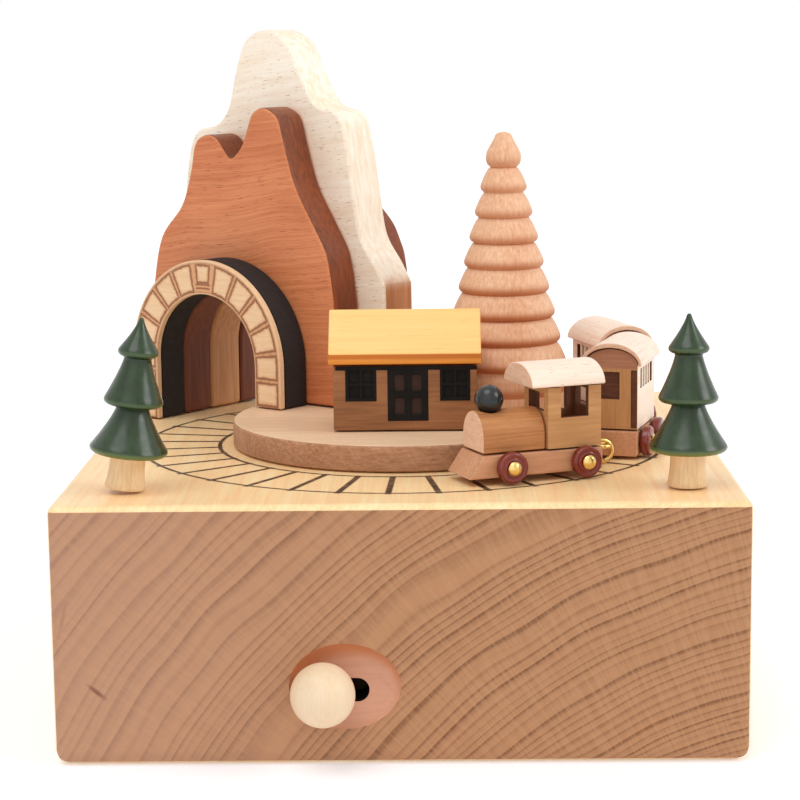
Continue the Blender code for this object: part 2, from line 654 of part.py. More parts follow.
def make_tunnel(axis):
    """The portal's two arches, then three mountain layers, all with the tunnel through them."""
    frame = empty("tunnel_frame", axis, (TUNNEL_FOOT_X, TUNNEL_FOOT_Y, 0), TUNNEL_TURN)
    left = ARCH_CENTRE - ARCH_INNER_R
    right = ARCH_CENTRE + ARCH_INNER_R
    outer = arc(ARCH_CENTRE, ARCH_SPRING, ARCH_OUTER_R, 180, 0, 13)
    opening = arch_opening(left, right, ON_DISC)
    ring = [(ARCH_CENTRE - ARCH_OUTER_R, SEAT_GAP)] + outer + [(ARCH_CENTRE + ARCH_OUTER_R, ON_DISC)]
    points = ring + opening
    soft = set(range(2, 13)) | set(range(len(ring) + 2, len(ring) + 9))
    front = 0.0
    stand_up("tunnel_facade", frame, points, soft, FACADE_THICK - SEAT_GAP, front,
             material("facade_veneer", CREAM_WOOD, 0.6))
    front += FACADE_THICK
    arch_finish = material("matte_black", BLACK_PAINT, 0.8)
    stand_up("tunnel_arch", frame, points, soft, ARCH_THICK - SEAT_GAP, front, arch_finish)
    front += ARCH_THICK
    layers = [("mountain_front", FRONT_LAYER, "red_wood", RED_WOOD, 0),
              ("mountain_middle", MIDDLE_LAYER, "beige_wood", BEIGE_WOOD, 0),
              ("mountain_rear", REAR_LAYER, "red_wood", RED_WOOD, REAR_EXTRA_OPENING)]
    for number, (name, peaks, finish, colour, widen) in enumerate(layers):
        peak_points = [(across * OUTLINE_STEP, up * OUTLINE_STEP) for across, up in peaks]
        left_foot = (LEFT_FEET[number] * OUTLINE_STEP, SEAT_GAP)
        right_foot = (RIGHT_FEET[number] * OUTLINE_STEP, ON_DISC)
        outline = [left_foot] + peak_points + [right_foot]
        cut_out = arch_opening(left, right + widen, ON_DISC)
        soft = set(range(1, len(peaks) + 1)) | set(range(len(outline) + 2, len(outline) + 9))
        layer = stand_up(name, frame, outline + cut_out, soft, LAYER_THICK - SEAT_GAP, front,
                         material(finish, colour, 0.5))
        bevel(layer, LAYER_EDGE)
        front += LAYER_THICK


def make_knob_and_lever(axis):
    """Ball knob on a wire that slides in the slot and stops the governor."""
    knob_y = -HALF_BOX - KNOB_STANDOFF
    slider = empty("stop_slide", axis, (LEVER_X, 0, CONTROL_Z))
    cream = material("cream_knob", CREAM_WOOD, 0.45)
    knob = add("knob_ball", ball_mesh("knob_ball", KNOB_R), slider, (0, knob_y, 0), finish=cream, smooth=True)
    socket = cylinder_mesh("knob_socket", LEVER_R + SEAT_GAP, -2 * KNOB_R, 0, 12)
    combine(knob, add("knob_socket", socket, slider, (0, knob_y, 0), UPRIGHT))
    bend = LEVER_BEND_R
    low_bend = [(LEVER_RISE_Y - bend + y, bend + z) for y, z in arc(0, 0, bend, -90, 0, 4)]
    high_bend = [(LEVER_RISE_Y + bend + y, LEVER_RISE - bend + z) for y, z in arc(0, 0, bend, 180, 90, 4)]
    tip = (LEVER_RISE_Y + LEVER_TAIL, LEVER_RISE)
    run = [(knob_y + SEAT_GAP, 0)] + low_bend + high_bend + [tip]
    wire = tube_mesh("stop_lever", [(0, y, z) for y, z in run], LEVER_R)
    add("stop_lever", wire, slider, finish=material("steel_wire", STEEL, 0.3, 1.0), smooth=True)


def make_bedplate(axis):
    """Cast bedplate of the movement: plate, feet, comb pad, cylinder posts and governor bracket."""
    cast = material("cast_bedplate", CAST_GREY, 0.6, 1.0)
    plate_mesh = box_mesh("movement_bedplate", (BEDPLATE_LEFT, BEDPLATE_FRONT, BEDPLATE_Z),
                          (BEDPLATE_RIGHT, BEDPLATE_BACK, PLATE_TOP))
    plate = add("movement_bedplate", plate_mesh, axis, finish=cast)
    below = BEDPLATE_Z - BEDPLATE_THICK
    above = PLATE_TOP + BEDPLATE_THICK
    arbor_hole = cylinder_mesh("arbor_hole", ARBOR_R + RUNNING_GAP, below, above, 16)
    combine(plate, add("arbor_hole", arbor_hole, axis))
    sweep = LEVER_R + LEVER_NOTCH_GAP
    notch = box_mesh("lever_notch", (LEVER_X - sweep, LEVER_RISE_Y - sweep, below),
                     (LEVER_X + LEVER_TRAVEL + sweep, LEVER_RISE_Y + sweep, above))
    combine(plate, add("lever_notch", notch, axis))
    half_post = POST_WIDTH / 2
    sunk = PLATE_TOP - BEDPLATE_THICK / 2
    for number, (x, y) in enumerate(FOOT_POSITIONS, 1):
        foot = cylinder_mesh("foot", FOOT_R, COVER_TOP + SEAT_GAP, sunk, 12)
        combine(plate, add(f"foot_{number}", foot, axis, (x, y, 0)), "UNION")
    post_top = CYLINDER_AXIS_Z + CYLINDER_SHAFT_R + POST_CROWN
    post_fronts = (CYLINDER_FRONT_Y - RUNNING_GAP - POST_THICK, CYLINDER_BACK_Y + RUNNING_GAP)
    for number, y in enumerate(post_fronts, 1):
        post = box_mesh("post", (-half_post, y, sunk), (half_post, y + POST_THICK, post_top))
        combine(plate, add(f"cylinder_post_{number}", post, axis), "UNION")
    pad_front = COMB_ROOT_X - 2 * COMB_SCREW_SETBACK
    pad = box_mesh("comb_pad", (pad_front, CYLINDER_FRONT_Y, sunk),
                   (COMB_ROOT_X, CYLINDER_BACK_Y, COMB_Z - COMB_THICK / 2 - SEAT_GAP))
    combine(plate, add("comb_pad", pad, axis), "UNION")
    bracket_top = PLATE_TOP + GOVERNOR_HEIGHT + 2 * RUNNING_GAP
    post_x = GOVERNOR_X + GOVERNOR_R + GOVERNOR_POST_GAP
    bracket = box_mesh("governor_post", (post_x, GOVERNOR_Y - half_post / 2, sunk),
                       (post_x + POST_THICK, GOVERNOR_Y + half_post / 2, bracket_top + POST_THICK))
    combine(plate, add("governor_post", bracket, axis), "UNION")
    bridge_left = GOVERNOR_X - GOVERNOR_BRIDGE_REACH
    bridge = box_mesh("governor_bridge", (bridge_left, GOVERNOR_Y - half_post / 2, bracket_top),
                      (post_x + POST_THICK / 2, GOVERNOR_Y + half_post / 2, bracket_top + POST_THICK))
    combine(plate, add("governor_bridge", bridge, axis), "UNION")
    middle_y = (CYLINDER_FRONT_Y + CYLINDER_BACK_Y) / 2
    bearing_r = CYLINDER_SHAFT_R + RUNNING_GAP
    bearing_mesh = cylinder_mesh("bearing", bearing_r, -CYLINDER_LENGTH, CYLINDER_LENGTH, 16)
    bearing = add("cylinder_bearing", bearing_mesh, axis, (0, middle_y, CYLINDER_AXIS_Z), UPRIGHT)
    combine(plate, bearing)
    for number, (x, y) in enumerate(movement_screw_places(), 1):
        hole_top = COVER_INSET + MOVEMENT_SCREW_LENGTH + SEAT_GAP
        hole = cylinder_mesh("foot_hole", SCREW_HOLE_R, COVER_INSET, hole_top, 12)
        combine(plate, add(f"foot_hole_{number}", hole, axis, (x, y, 0)))
    for number, (x, y) in enumerate(comb_screw_places(), 1):
        hole_low = COMB_Z + COMB_THICK / 2 + SCREW_HEAD_THICK - COMB_SCREW_LENGTH - 2 * SEAT_GAP
        hole = cylinder_mesh("comb_hole", SCREW_HOLE_R, hole_low, COMB_Z, 12)
        combine(plate, add(f"pad_hole_{number}", hole, axis, (x, y, 0)))


def comb_screw_places():
    """Two screws hold the comb's root."""
    x = COMB_ROOT_X - COMB_SCREW_SETBACK
    middle = (CYLINDER_FRONT_Y + CYLINDER_BACK_Y) / 2
    return [(x, middle - COMB_SCREW_SPACING / 2), (x, middle + COMB_SCREW_SPACING / 2)]


def make_comb(axis):
    """Steel comb, its teeth's tips at the cylinder's side."""
    pitch = CYLINDER_LENGTH / COMB_TEETH
    tip = CYLINDER_R + COMB_REACH_GAP
    root = tip + COMB_TOOTH_LENGTH
    first = CYLINDER_FRONT_Y + pitch * COMB_SLIT_SHARE
    outline = [(COMB_ROOT_X, first), (tip, first)]
    for tooth in range(1, COMB_TEETH):
        next_tooth = CYLINDER_FRONT_Y + pitch * (tooth + COMB_SLIT_SHARE)
        slit = next_tooth - pitch * COMB_SLIT_SHARE
        outline += [(tip, slit), (root, slit), (root, next_tooth), (tip, next_tooth)]
    outline += [(tip, CYLINDER_BACK_Y), (COMB_ROOT_X, CYLINDER_BACK_Y)]
    comb_finish = material("comb_steel", STEEL, 0.3, 1.0)
    comb = add("comb", polygon_mesh("comb", outline, COMB_THICK), axis, (0, 0, COMB_Z), finish=comb_finish)
    for number, (x, y) in enumerate(comb_screw_places(), 1):
        hole = cylinder_mesh("comb_screw_hole", SCREW_HOLE_R, COMB_Z - COMB_THICK, COMB_Z + COMB_THICK, 12)
        combine(comb, add(f"comb_screw_hole_{number}", hole, axis, (x, y, 0)))
        head_face = COMB_Z + COMB_THICK / 2 + SEAT_GAP + SCREW_HEAD_THICK
        screw(f"comb_screw_{number}", axis, x, y, head_face, COMB_SCREW_LENGTH, False, "screw_steel", STEEL)


def make_cylinder(axis):
    """Pinned cylinder on its shaft, lying from the barrel to the front."""
    half = CYLINDER_LENGTH / 2
    end = half + RUNNING_GAP + POST_THICK
    profile = [(0, end), (CYLINDER_SHAFT_R, end), (CYLINDER_SHAFT_R, half), (CYLINDER_R, half),
               (CYLINDER_R, -half), (CYLINDER_SHAFT_R, -half), (CYLINDER_SHAFT_R, -end), (0, -end)]
    middle = (CYLINDER_FRONT_Y + CYLINDER_BACK_Y) / 2
    turned("pinned_cylinder", profile, 24, axis, (0, middle, CYLINDER_AXIS_Z), UPRIGHT,
           material("cylinder_brass", BRASS, 0.35, 1.0))


def make_governor(axis):
    """Air brake: a light shaft with two vanes."""
    low = PLATE_TOP + RUNNING_GAP
    high = low + GOVERNOR_HEIGHT
    vane = box_mesh("governor_fly", (-GOVERNOR_R, -VANE_THICK / 2, low + VANE_FOOT),
                    (GOVERNOR_R, VANE_THICK / 2, high - VANE_HEAD))
    steel = material("fly_steel", STEEL, 0.4, 1.0)
    fly = add("governor_fly", vane, axis, (GOVERNOR_X, GOVERNOR_Y, 0), finish=steel)
    shaft = add("fly_shaft", cylinder_mesh("fly_shaft", GOVERNOR_SHAFT_R, low, high, 8), axis,
                (GOVERNOR_X, GOVERNOR_Y, 0))
    combine(fly, shaft, "UNION")


def make_barrel(axis):
    """Spring barrel: a cup open below, with the output shaft on top."""
    inner = BARREL_R - BARREL_WALL
    profile = [(0, SHAFT_TOP), (OUTPUT_SHAFT_R, SHAFT_TOP), (OUTPUT_SHAFT_R, BARREL_TOP),
               (BARREL_R, BARREL_TOP), (BARREL_R, BARREL_BOTTOM), (inner, BARREL_BOTTOM),
               (inner, BARREL_TOP - BARREL_WALL), (0, BARREL_TOP - BARREL_WALL)]
    turned("spring_barrel", profile, 32, axis, finish=material("barrel_brass", BRASS, 0.35, 1.0))


def make_mainspring(axis):
    """Coiled strip between the arbor and the barrel's wall."""
    first = ARBOR_R + RUNNING_GAP + SPRING_STRIP / 2
    last = BARREL_R - BARREL_WALL - RUNNING_GAP - SPRING_STRIP / 2
    steps = SPRING_TURNS * 12
    outer_side = []
    inner_side = []
    for i in range(steps + 1):
        angle = 2 * math.pi * SPRING_TURNS * i / steps
        radius = first + (last - first) * i / steps
        direction = Vector((math.cos(angle), math.sin(angle)))
        outer_side.append(tuple(direction * (radius + SPRING_STRIP / 2)))
        inner_side.append(tuple(direction * (radius - SPRING_STRIP / 2)))
    low = BARREL_BOTTOM + RUNNING_GAP
    high = BARREL_TOP - BARREL_WALL - RUNNING_GAP
    strip = polygon_mesh("mainspring", outer_side + inner_side[::-1], high - low)
    dark = material("spring_steel", DARK_STEEL, 0.4, 1.0)
    add("mainspring", strip, axis, (0, 0, (low + high) / 2), finish=dark)


def make_winding_key(axis):
    """Wing key and its arbor, which goes up into the spring."""
    top = BARREL_TOP - BARREL_WALL - RUNNING_GAP
    wing_low = KEY_FLOOR_GAP
    wing_high = wing_low + KEY_WING_HEIGHT
    steel = material("key_steel", STEEL, 0.25, 1.0)
    sleeve_top = BEDPLATE_Z - RUNNING_GAP
    sleeve_low = wing_low + KEY_SLEEVE_FOOT
    profile = [(0, top), (ARBOR_R, top), (ARBOR_R, sleeve_top), (KEY_SLEEVE_R, sleeve_top),
               (KEY_SLEEVE_R, sleeve_low), (0, sleeve_low)]
    key = turned("winding_key", profile, 16, axis, finish=steel)
    lobe = KEY_WING_HEIGHT / 2
    outline = arc(KEY_SPAN / 2 - lobe, 0, lobe, -90, 90, 9) + arc(-KEY_SPAN / 2 + lobe, 0, lobe, 90, 270, 9)
    wing_mesh = polygon_mesh("key_wing", outline, KEY_WING_THICK)
    wing = add("key_wing", wing_mesh, axis, (0, 0, (wing_low + wing_high) / 2), UPRIGHT)
    combine(key, wing, "UNION")


def make_magnet_arm(axis):
    """Arm on the output shaft, and the magnet that it carries round under the track."""
    carrier = empty("arm_frame", axis, turn=LOCO_ANGLE)
    low = ARM_TOP - ARM_THICK
    bar = box_mesh("magnet_arm", (-ARM_TAIL, -ARM_WIDTH / 2, low),
                   (TRACK_R + DRIVE_MAGNET_R, ARM_WIDTH / 2, ARM_TOP))
    arm = add("magnet_arm", bar, carrier, finish=material("arm_plastic", ARM_WHITE, 0.5))
    hub = cylinder_mesh("arm_hub", ARM_HUB_R, BARREL_TOP + ARM_HUB_GAP, ARM_TOP, 20)
    combine(arm, add("arm_hub", hub, carrier), "UNION")
    bore = cylinder_mesh("arm_bore", OUTPUT_SHAFT_R + SEAT_GAP, BARREL_TOP, SHAFT_TOP, 20)
    combine(arm, add("arm_bore", bore, carrier))
    magnet_low = ARM_TOP + SEAT_GAP
    magnet = cylinder_mesh("drive_magnet", DRIVE_MAGNET_R, magnet_low, magnet_low + DRIVE_MAGNET_THICK, 20)
    dark = material("magnet", DARK_STEEL, 0.3, 1.0)
    add("drive_magnet", magnet, carrier, (TRACK_R, 0, 0), finish=dark)


def vehicle_frame(name, axis, angle, toe_in=0.0):
    """Empty on the track: its X runs forwards, clockwise seen from above, and its Y outwards."""
    place = (TRACK_R * math.cos(angle), TRACK_R * math.sin(angle), BOX_HEIGHT)
    return empty(name, axis, place, angle - math.pi / 2 - toe_in)


def make_chassis(name, frame, outline, axle_places):
    """Wooden chassis with two brass axle pins through it, their heads outside the wheels."""
    mesh = polygon_mesh(name, outline, CHASSIS_WIDTH)
    chassis = add(name, mesh, frame, (0, 0, 0), UPRIGHT, material("chassis_beech", PALE_BEECH, 0.6))
    crown = TRAIN_HALF_WIDTH - PIN_CROWN_DROP
    half_pin = [(0, TRAIN_HALF_WIDTH), (PIN_CROWN_R, crown), (PIN_HEAD_R, PIN_HEAD_Y), (PIN_R, PIN_HEAD_Y)]
    profile = half_pin + [(radius, -height) for radius, height in half_pin[::-1]]
    for number, x in enumerate(axle_places, 1):
        pin = turned(f"{name}_pin_{number}", profile, 12, frame, (x, 0, WHEEL_AXIS_Z), UPRIGHT)
        combine(chassis, pin, "UNION")
    return chassis


def make_wheels(name, frame, axle_places):
    """Four wheels, each free on its pin. Each has its own axis along the pin, pointing outwards."""
    face_r = WHEEL_R - WHEEL_BEAD
    profile = [(WHEEL_BORE_R, WHEEL_THICK), (face_r, WHEEL_THICK), (WHEEL_R, WHEEL_THICK - WHEEL_BEAD),
               (WHEEL_R, WHEEL_BEAD), (face_r, 0), (WHEEL_BORE_R, 0)]
    red = material("wheel_red", WHEEL_RED, 0.2)
    for end, x in zip(("front", "rear"), axle_places):
        for side, sign in (("outer", 1), ("inner", -1)):
            turned(f"{name}_wheel_{end}_{side}", profile, 16, frame, (x, sign * WHEEL_INNER_Y, WHEEL_AXIS_Z),
                   (-sign * math.pi / 2, 0, 0), red, ring=True)


def half_round(width, rise, count):
    """A low arch of the given width and rise, from right to left."""
    spread = [math.pi * i / (count - 1) for i in range(count)]
    return [(width / 2 * math.cos(a), rise * math.sin(a)) for a in spread]


def make_loco(axis):
    """Locomotive: chassis, boiler, ball chimney, open cab and roof block."""
    frame = vehicle_frame("loco_frame", axis, LOCO_ANGLE, LOCO_TOE_IN)
    outline = [(LOCO_REAR, CHASSIS_BOTTOM), (LOCO_NOSE, CHASSIS_BOTTOM),
               (LOCO_NOSE - LOCO_NOSE_SLOPE, CHASSIS_TOP), (LOCO_REAR, CHASSIS_TOP)]
    axles = [LOCO_WHEEL_SHIFT + LOCO_WHEELBASE / 2, LOCO_WHEEL_SHIFT - LOCO_WHEELBASE / 2]
    chassis = make_chassis("loco_chassis", frame, outline, axles)
    magnet_top = CHASSIS_BOTTOM + TRAIN_MAGNET_THICK
    pocket = cylinder_mesh("magnet_pocket", TRAIN_MAGNET_R + SEAT_GAP, 0, magnet_top + 2 * SEAT_GAP, 16)
    combine(chassis, add("magnet_pocket", pocket, frame, (LOCO_WHEEL_SHIFT, 0, 0)))
    magnet_low = CHASSIS_BOTTOM + SEAT_GAP
    magnet = cylinder_mesh("train_magnet", TRAIN_MAGNET_R, magnet_low, magnet_top + SEAT_GAP, 16)
    dark = material("magnet", DARK_STEEL, 0.3, 1.0)
    add("train_magnet", magnet, frame, (LOCO_WHEEL_SHIFT, 0, 0), finish=dark)
    make_wheels("loco", frame, axles)

    boiler_back = CAB_FRONT + SEAT_GAP
    boiler_length = BOILER_FRONT - boiler_back
    radius = BOILER_WIDTH / 2
    shape = [(-radius, 0), (radius, 0)] + arc(0, BOILER_HEIGHT - radius, radius, 0, 180, 13)
    beech = material("boiler_beech", PALE_BEECH, 0.6)
    boiler = add("loco_boiler", polygon_mesh("loco_boiler", shape, boiler_length), frame,
                 (boiler_back + boiler_length / 2, 0, ON_CHASSIS), CROSSWISE, beech)
    chimney_z = ON_CHASSIS + BOILER_HEIGHT + CHIMNEY_R - CHIMNEY_SINK
    dimple = ball_mesh("chimney_dimple", CHIMNEY_R + SEAT_GAP, 12, 8)
    combine(boiler, add("chimney_dimple", dimple, frame, (CHIMNEY_X, 0, chimney_z)))
    black = material("gloss_black", BLACK_PAINT, 0.25)
    ball = ball_mesh("loco_chimney_ball", CHIMNEY_R, 14, 9)
    add("loco_chimney_ball", ball, frame, (CHIMNEY_X, 0, chimney_z), finish=black, smooth=True)

    cab_back = CAB_FRONT - CAB_LENGTH
    half = CAB_WIDTH / 2
    cab_top = ON_CHASSIS + CAB_HEIGHT
    cab_mesh = box_mesh("loco_cab", (cab_back, -half, ON_CHASSIS), (CAB_FRONT, half, cab_top))
    cab = add("loco_cab", cab_mesh, frame, finish=material("cab_ply", CREAM_WOOD, 0.6))
    inside = box_mesh("cab_inside", (cab_back + CAB_WALL, -half + CAB_WALL, ON_CHASSIS + CAB_WALL),
                      (CAB_FRONT - CAB_WALL, half - CAB_WALL, cab_top + CAB_WALL))
    combine(cab, add("cab_inside", inside, frame))
    sill = ON_CHASSIS + CAB_SILL
    side = box_mesh("cab_side_window", (cab_back + CAB_PILLAR, -CAB_WIDTH, sill),
                    (CAB_FRONT - CAB_PILLAR, CAB_WIDTH, cab_top + CAB_WALL))
    combine(cab, add("cab_side_window", side, frame))
    jamb = (CAB_PILLAR + CAB_WALL) / 2
    ends = box_mesh("cab_end_window", (cab_back - CAB_WALL, jamb - half, sill + CAB_WALL),
                    (CAB_FRONT + CAB_WALL, half - jamb, cab_top - CAB_WALL))
    combine(cab, add("cab_end_window", ends, frame))
    roof_front = CAB_FRONT + CAB_ROOF_FRONT_OVERHANG
    roof_back = cab_back - CAB_ROOF_REAR_OVERHANG
    arch_shape = half_round(CAB_ROOF_WIDTH, CAB_ROOF_RISE, 15)
    roof_mesh = polygon_mesh("loco_cab_roof", arch_shape, roof_front - roof_back)
    add("loco_cab_roof", roof_mesh, frame, ((roof_front + roof_back) / 2, 0, cab_top + SEAT_GAP), CROSSWISE,
        material("roof_beech", PALE_BEECH, 0.6))
    return frame


def make_car(name, axis, angle):
    """Passenger car: chassis, a body with arched ends and let-in windows, and a thin arched roof."""
    frame = vehicle_frame(f"{name}_frame", axis, angle)
    half = CAR_LENGTH / 2
    outline = [(-half, CHASSIS_BOTTOM), (half, CHASSIS_BOTTOM), (half, CHASSIS_TOP), (-half, CHASSIS_TOP)]
    axles = [CAR_WHEELBASE / 2, -CAR_WHEELBASE / 2]
    make_chassis(f"{name}_chassis", frame, outline, axles)
    make_wheels(name, frame, axles)
    body_length = CAR_LENGTH - 2 * CAR_BODY_INSET
    body_half = CAB_WIDTH / 2
    under_roof = CAR_ROOF_RISE - CAR_ROOF_THICK - SEAT_GAP
    crown = [(y, CAR_WALL_HEIGHT + z) for y, z in half_round(CAB_WIDTH, under_roof, 11)]
    shape = [(-body_half, 0), (body_half, 0)] + crown
    body = add(f"{name}_body", polygon_mesh(f"{name}_body", shape, body_length), frame,
               (0, 0, ON_CHASSIS), CROSSWISE, material("car_ply", CREAM_WOOD, 0.6))
    window_top = ON_CHASSIS + CAR_WALL_HEIGHT - CAR_BODY_INSET
    window_low = window_top - CAR_WINDOW_HEIGHT
    window_half = body_length / 2 - CAB_PILLAR
    for side in (1, -1):
        inner = side * (body_half - CAR_WINDOW_DEPTH)
        outer = side * (body_half + CAR_WINDOW_DEPTH)
        strip = box_mesh("side_window", (-window_half, min(inner, outer), window_low),
                         (window_half, max(inner, outer), window_top))
        combine(body, add(f"{name}_side_window_{side}", strip, frame))
        wall = side * body_length / 2
        face = (wall - CAR_WINDOW_DEPTH, wall + CAR_WINDOW_DEPTH)
        pane = box_mesh("end_window", (face[0], -CAR_PANE_FROM, window_low),
                        (face[1], -CAR_PANE_TO, window_top))
        combine(body, add(f"{name}_end_window_{side}", pane, frame))
    outer_arch = half_round(CAR_ROOF_WIDTH, CAR_ROOF_RISE, 13)
    inner_width = CAB_WIDTH + 2 * SEAT_GAP
    inner_arch = half_round(inner_width, CAR_ROOF_RISE - CAR_ROOF_THICK, 13)
    roof_mesh = polygon_mesh(f"{name}_roof", outer_arch + inner_arch[::-1], CAR_LENGTH)
    add(f"{name}_roof", roof_mesh, frame, (0, 0, ON_CHASSIS + CAR_WALL_HEIGHT), CROSSWISE,
        material("roof_beech", PALE_BEECH, 0.6))
    return frame


def coupler(name, axis, start, target, upright):
    """Brass screw eye from a chassis end towards the link point, its ring upright or flat."""
    along = target - start
    reach = along.length
    centre = reach - COUPLER_LINK_SPACING / 2
    turns = [math.radians(180 + COUPLER_TURN * i / COUPLER_STEPS) for i in range(COUPLER_STEPS + 1)]
    ring = [(centre + COUPLER_EYE_R * math.cos(a), COUPLER_EYE_R * math.sin(a)) for a in turns]
    path = [(SEAT_GAP, 0)] + ring
    points = [(x, 0, y) if upright else (x, y, 0) for x, y in path]
    brass = material("coupler_brass", BRASS, 0.3, 1.0)
    turn = math.atan2(along.y, along.x)
    add(name, tube_mesh(name, points, COUPLER_WIRE_R, 1), axis, start, (0, 0, turn), brass, smooth=True)


def make_couplers(axis, frames):
    """A pair of linked eyes between each vehicle and the next."""
    ends = [(LOCO_NOSE, LOCO_REAR), (CAR_LENGTH / 2, -CAR_LENGTH / 2), (CAR_LENGTH / 2, -CAR_LENGTH / 2)]
    names = [("loco_rear_eye", "car_1_front_eye"), ("car_1_rear_eye", "car_2_front_eye")]
    for number, (leading_name, trailing_name) in enumerate(names):
        leading = local_point(frames[number], ends[number][1])
        trailing = local_point(frames[number + 1], ends[number + 1][0])
        middle = (leading + trailing) / 2
        coupler(leading_name, axis, leading, middle, True)
        coupler(trailing_name, axis, trailing, middle, False)


def local_point(frame, x):
    """A point on a vehicle's centre line at coupler height, in the track axis's frame."""
    turn = Matrix.Rotation(frame.rotation_euler.z, 4, "Z")
    return frame.location + turn @ Vector((x, 0, COUPLER_Z))


def build():
    """Clear the scene and make every piece."""
    for old in list(bpy.data.objects):
        bpy.data.objects.remove(old)
    bpy.context.scene.collection.children.link(parts)
    bpy.context.scene.collection.children.link(cutters)
    axis = empty("track_axis", None, (0, TRACK_AXIS_Y, 0))

    make_base_block(axis)
    make_bottom_cover(axis)
    for number, (x, y) in enumerate(cover_screw_places(), 1):
        screw(f"cover_screw_{number}", axis, x, y, COVER_INSET, COVER_SCREW_LENGTH, True,
              "screw_brass", BRASS)
    make_platform(axis)
    make_house(axis)
    make_turned_tree(axis)
    make_green_tree("green_tree_left", axis, FIR_LEFT_INSET - HALF_BOX, FIR_LEAN)
    make_green_tree("green_tree_right", axis, HALF_BOX - FIR_SIDE_INSET, 0.0)
    make_tunnel(axis)
    make_knob_and_lever(axis)

    make_bedplate(axis)
    for number, (x, y) in enumerate(movement_screw_places(), 1):
        screw(f"movement_screw_{number}", axis, x, y, COVER_INSET, MOVEMENT_SCREW_LENGTH, True,
              "screw_steel", STEEL)
    make_comb(axis)
    make_cylinder(axis)
    make_governor(axis)
    make_barrel(axis)
    make_mainspring(axis)
    make_winding_key(axis)
    make_magnet_arm(axis)

    frames = [make_loco(axis)]
    for number, angle in enumerate(CAR_ANGLES, 1):
        frames.append(make_car(f"car_{number}", axis, angle))
    make_couplers(axis, frames)


build()
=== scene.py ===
"""Wooden music box with a toy train, a station, turned trees and a tunnel through a mountain.

A Blender 4.5 add-on that is run as a script. Shapes are drawn in millimetres, each in its own
frame, and are put in place in metres. The finishes read a point's place in that frame from the
attribute PLACE.
"""

import math

import bmesh
import bpy
from bpy.props import FloatProperty, FloatVectorProperty, IntProperty, PointerProperty
from mathutils import Matrix, Vector


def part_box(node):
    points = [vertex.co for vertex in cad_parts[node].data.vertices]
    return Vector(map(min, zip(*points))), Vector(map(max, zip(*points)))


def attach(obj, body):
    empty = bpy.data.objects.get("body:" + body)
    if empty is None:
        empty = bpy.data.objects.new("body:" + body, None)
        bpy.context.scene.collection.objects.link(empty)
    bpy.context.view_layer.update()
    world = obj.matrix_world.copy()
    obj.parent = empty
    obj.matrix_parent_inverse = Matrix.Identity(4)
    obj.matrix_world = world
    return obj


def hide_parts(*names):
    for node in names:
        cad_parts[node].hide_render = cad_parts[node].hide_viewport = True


bl_info = {
    "name": "Wooden Train Music Box",
    "version": (1, 0, 0),
    "blender": (4, 5, 0),
    "location": "View3D > Sidebar > Music Box",
    "description": "Makes the visible pieces of a wooden music box with a toy train",
    "category": "Object",
}

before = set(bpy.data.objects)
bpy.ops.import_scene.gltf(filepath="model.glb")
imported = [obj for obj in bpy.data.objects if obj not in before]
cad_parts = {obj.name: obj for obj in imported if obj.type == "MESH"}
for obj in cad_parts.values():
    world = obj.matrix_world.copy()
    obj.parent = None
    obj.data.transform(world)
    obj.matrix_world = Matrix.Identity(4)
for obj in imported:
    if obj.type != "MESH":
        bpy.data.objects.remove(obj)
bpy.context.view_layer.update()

MM = 0.001
RELIEF = 0.1 * MM
PLACE = "place_in_piece"

disc_low, disc_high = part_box("platform_disc")
TRACK_AXIS = (disc_low + disc_high) / 2
RING = Matrix.Translation((TRACK_AXIS.x, TRACK_AXIS.y, 0)) @ Matrix.Scale(MM, 4)
STAND_UP = Matrix.Rotation(math.pi / 2, 4, "X")
ACROSS = Matrix.Rotation(math.pi / 2, 4, "Z") @ STAND_UP


def span(node):
    """Lowest and highest corner of a CAD node, in millimetres from the track's axis."""
    low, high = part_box(node)
    return RING.inverted() @ low, RING.inverted() @ high


BOX_LOW, BOX_HIGH = span("base_block")
BOX_TOP = BOX_HIGH.z
DISC_LOW, DISC_HIGH = span("platform_disc")
DISC_R = DISC_HIGH.x
HOUSE_LOW, HOUSE_HIGH = span("station_house")
ROOF_LOW, ROOF_HIGH = span("house_roof")
TREE_LOW, TREE_HIGH = span("turned_tree")
KNOB_LOW, KNOB_HIGH = span("knob_ball")

# Sizes that the frame's boxes don't give, in millimetres
TRACK_R = 39.65
TREE_TIP = 6.35
TREE_SKIRT = 7.7
SEAT_GAP = 0.3
TUNNEL_TURN = math.radians(-38.0)
TUNNEL_FOOT = (-21.674, 5.245)
ARCH_CENTRE = -19.8
ARCH_SPRING = 12.35
ARCH_INNER_R = 12.6
ARCH_OUTER_R = 18.9
ARCH_FOOT = 5.0
DISH_CENTRE = (-8.85, 12.85)
DISH_SIZE = (17.4, 13.7)
DISH_DEPTH = 2.5
SLOT_FROM, SLOT_TO, SLOT_Z = -12.2, -6.95, 11.6
SLOT_R = 1.9
REBATE_INSET, REBATE_TOP = 4.0, 4.3
HOLLOW_INSET, HOLLOW_TOP = 9.0, 37.0
